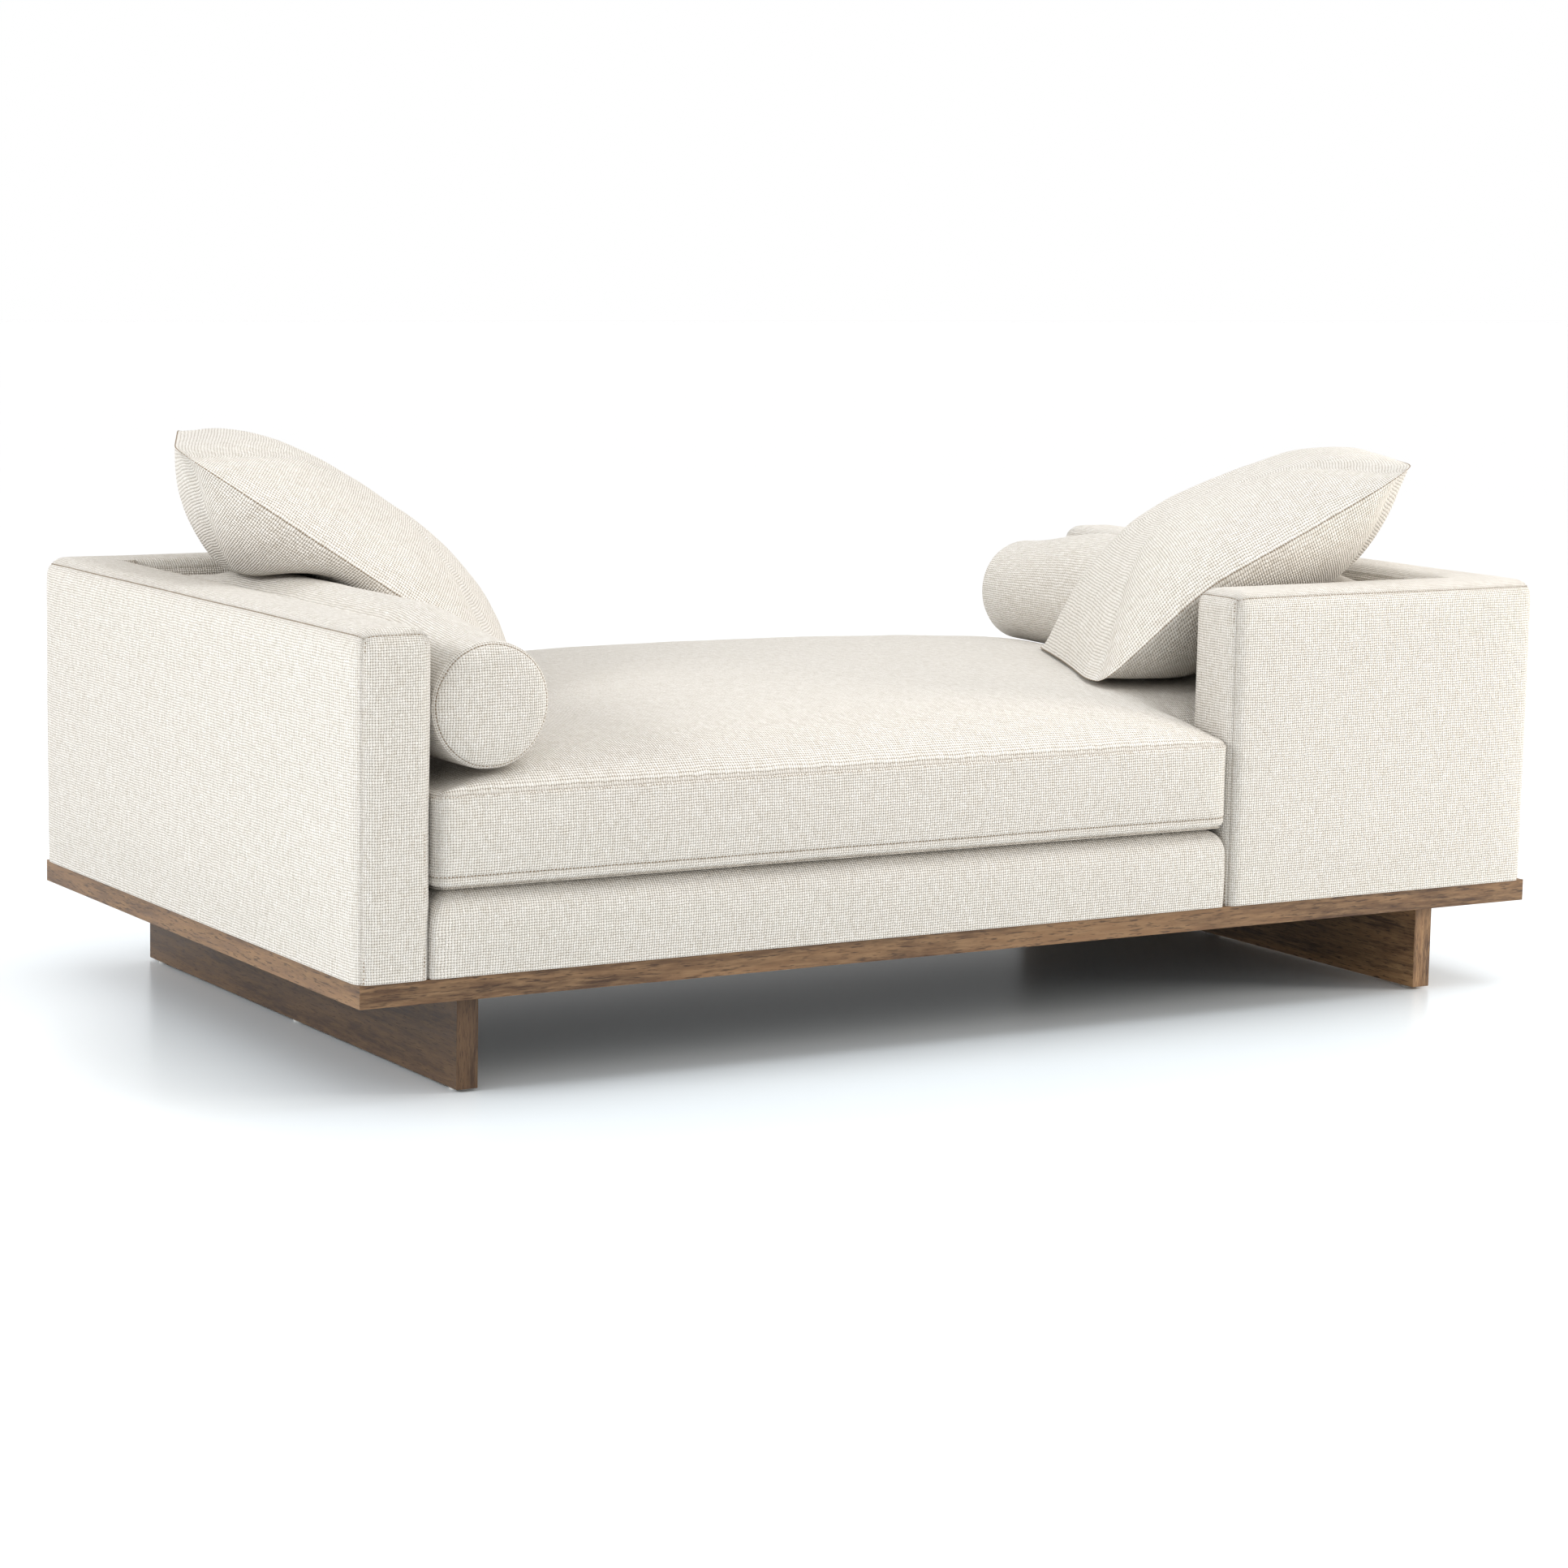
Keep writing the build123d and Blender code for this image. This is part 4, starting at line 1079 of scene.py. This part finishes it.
def dust_sheet(name, x_low, x_high, y_low, y_high, level):
    """One thin dark cloth stapled under the deck, sagging a little between its edges."""
    xs, ys = lines(x_low, x_high, DUST_CELL), lines(y_low, y_high, DUST_CELL)
    x, y = [v.ravel() for v in np.meshgrid(xs, ys)]
    u, v = (x - x_low) / (x_high - x_low), (y - y_low) / (y_high - y_low)
    inside = np.clip(np.sin(math.pi * u) * np.sin(math.pi * v), 0, 1)
    sag = DUST_SAG * inside ** 0.6 * min(1, (x_high - x_low) / DUST_FULL_SAG_WIDTH)
    ripple = DUST_RIPPLE * np.sin(DUST_RIPPLE_RATE * x) * inside
    points = np.column_stack([x, y, level - DUST_DROP - sag + ripple])
    row = len(xs)
    faces = [[a, a + 1, a + row + 1, a + row]
             for j in range(len(ys) - 1) for a in range(j * row, j * row + row - 1)]
    uvs = [[(points[i][0], points[i][1]) for i in f] for f in faces]
    piece = mesh_piece(name, points, faces, uvs, DUST_CLOTH, "base")
    thick = piece.modifiers.new("thickness", "SOLIDIFY")
    thick.thickness = 0.0008
    return piece


def dust_cover():
    """Three cloths close the underside: one between the leg panels and one outside each of them."""
    low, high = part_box("dust_cover")
    left_low, left_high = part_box("leg_panel_left")
    right_low, right_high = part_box("leg_panel_right")
    spans = (
        ("dust_cloth_left", low.x, left_low.x - DUST_PLAY),
        ("dust_cloth_middle", left_high.x + DUST_PLAY, right_low.x - DUST_PLAY),
        ("dust_cloth_right", right_high.x + DUST_PLAY, high.x),
    )
    for name, x_low, x_high in spans:
        piece = dust_sheet(name, x_low, x_high, low.y, high.y, high.z)
        if name == "dust_cloth_middle":
            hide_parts("dust_cover")


# ---- hard parts carried over from the frame
def dress_frame():
    """Give every CAD piece that still shows its own material."""
    along_x, along_y = stained_wood("stained_wood_x", "X"), stained_wood("stained_wood_y", "Y")
    timber = speckled("frame_timber", 40.0, 4.0, TIMBER_DARK, TIMBER_PALE, 0.65, 0.0005, 0.4,
                      noise_roughness=0.7)
    plastic = speckled("glide_plastic", 120.0, 3.0, PLASTIC_CLEAN, PLASTIC_WORN, (0.35, 0.6), span=(0.4, 0.7))
    metal = speckled("steel", 300.0, 2.0, STEEL_DARK, STEEL_PALE, (0.3, 0.45), span=(0.0, 1.0), Metallic=1.0)
    chosen_by_name = {  # the first of these found in a piece's name decides
        "plinth_rail_front": along_x,
        "plinth_rail_back": along_x,
        "plinth_rail": along_y,
        "leg_panel_left": stained_wood("stained_wood_left_leg_dark_and_shaded", "Y", LEFT_LEG_DARK_WOOD_AND_SHADE),
        "leg_panel_right": stained_wood("stained_wood_right_leg_painted_light", "Y", RIGHT_LEG_PAINTED_LIGHT),
        "glides": plastic,
        "screws": metal,
        "bolts": metal,
        "webbing": black_cloth("elastic_webbing", 0.05),
        "rail": timber,
        "posts": timber,
        "blocks": timber,
        "batten": timber,
    }
    for name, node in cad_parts.items():
        chosen = next((material for part, material in chosen_by_name.items() if part in name), None)
        if chosen is not None:
            node.data.materials.clear()
            node.data.materials.append(chosen)


# ---- floor, light and camera
FLOOR_NEAR_DARK, FLOOR_NEAR_PALE = (0.855, 0.905, 0.940, 1), (0.885, 0.930, 0.960, 1)
FLOOR_FAR_PAINTED_WHITE = (1, 1, 1, 1)
FLOOR_PAINTED_LIGHT_FADE = (1.05, 3.2)  # distances from the middle over which painted light fades the floor to white
FLOOR_SIZE = 60
PICTURE_GAMMA = 0.9  # deepens the shadows and leaves white as it is
CAMERA_PLACE = (-3.438, -5.629, 1.267)
CAMERA_YAW, CAMERA_PITCH, CAMERA_ROLL = math.radians(-31.314), math.radians(8.210), math.radians(1.091)
CAMERA_LENS, CAMERA_SENSOR = 93.64, 36


def floor_material():
    """Pale floor, cool grey near the middle of the room and fading to white far out, a painted light that
    blends it into the white surroundings.
    """
    m = Nodes("pale_floor")
    where = m.place()
    distance = m.new("VectorMath", operation="LENGTH")
    m.join(where, distance.inputs[0])
    # painted light: far out the floor is painted white
    far = m.spread(distance.outputs["Value"], *FLOOR_PAINTED_LIGHT_FADE)
    near = m.mix(m.noise(where, 1.5, 2.0), FLOOR_NEAR_DARK, FLOOR_NEAR_PALE)
    return m.finish(m.mix(far, near, FLOOR_FAR_PAINTED_WHITE), 0.25, None, Specular_IOR_Level=0.35)


def area_light(name, place, aim, size, power, color):
    """A round soft light at a place, facing another."""
    data = bpy.data.lights.new(name, "AREA")
    data.shape = "DISK"
    data.size = size
    data.energy = power
    data.color = color
    lamp = bpy.data.objects.new(name, data)
    bpy.context.scene.collection.objects.link(lamp)
    lamp.location = place
    lamp.rotation_mode = "QUATERNION"
    lamp.rotation_quaternion = (Vector(aim) - Vector(place)).to_track_quat("-Z", "Y")


def studio():
    """The floor, the even white surroundings, the lights and the way the picture is shown."""
    bpy.ops.mesh.primitive_plane_add(size=FLOOR_SIZE, location=(0, 0, 0))
    floor = bpy.context.object
    floor.name = "studio_floor"
    floor.data.materials.append(floor_material())
    world = bpy.data.worlds.new("studio")
    bpy.context.scene.world = world
    world.use_nodes = True
    background = next(n for n in world.node_tree.nodes if n.type == "BACKGROUND")
    background.inputs["Color"].default_value = (1.0, 1.0, 1.0, 1)
    background.inputs["Strength"].default_value = 1.0
    area_light("key_left", place=(-5.0, -0.6, 2.6), aim=(-0.3, 0, 0.4), size=1.6, power=115,
               color=(0.97, 0.985, 1.0))
    area_light("fill_right", place=(4.5, -2.6, 1.4), aim=(1.1, -0.4, 0.4), size=1.8, power=135,
               color=(1.0, 0.95, 0.88))
    area_light("top_soft", place=(1.1, -0.5, 3.4), aim=(0.4, 0, 0.4), size=2.6, power=42,
               color=(0.93, 0.965, 1.0))
    bpy.context.scene.view_settings.view_transform = "Standard"
    bpy.context.scene.view_settings.gamma = PICTURE_GAMMA


def camera():
    """A long lens looking down a little from the front left."""
    data = bpy.data.cameras.new("camera")
    data.lens = CAMERA_LENS
    data.sensor_width = CAMERA_SENSOR
    data.clip_start, data.clip_end = 0.1, 100
    lens = bpy.data.objects.new("camera", data)
    bpy.context.scene.collection.objects.link(lens)
    level = Vector((math.cos(CAMERA_YAW), math.sin(CAMERA_YAW), 0))
    forward = Vector((
        -math.sin(CAMERA_YAW) * math.cos(CAMERA_PITCH),
        math.cos(CAMERA_YAW) * math.cos(CAMERA_PITCH),
        -math.sin(CAMERA_PITCH),
    ))
    above = level.cross(forward)
    right = level * math.cos(CAMERA_ROLL) + above * math.sin(CAMERA_ROLL)
    up = above * math.cos(CAMERA_ROLL) - level * math.sin(CAMERA_ROLL)
    lens.matrix_world = Matrix.LocRotScale(
        Vector(CAMERA_PLACE), Matrix((right, up, -forward)).transposed().to_quaternion(), None
    )
    bpy.context.scene.camera = lens


camera()
studio()
dress_frame()
dust_cover()
wall_upholstery()
deck_upholstery()
mattress()
bolsters()
pillow("left", LEFT_PILLOW, False)
pillow("right", RIGHT_PILLOW, True)
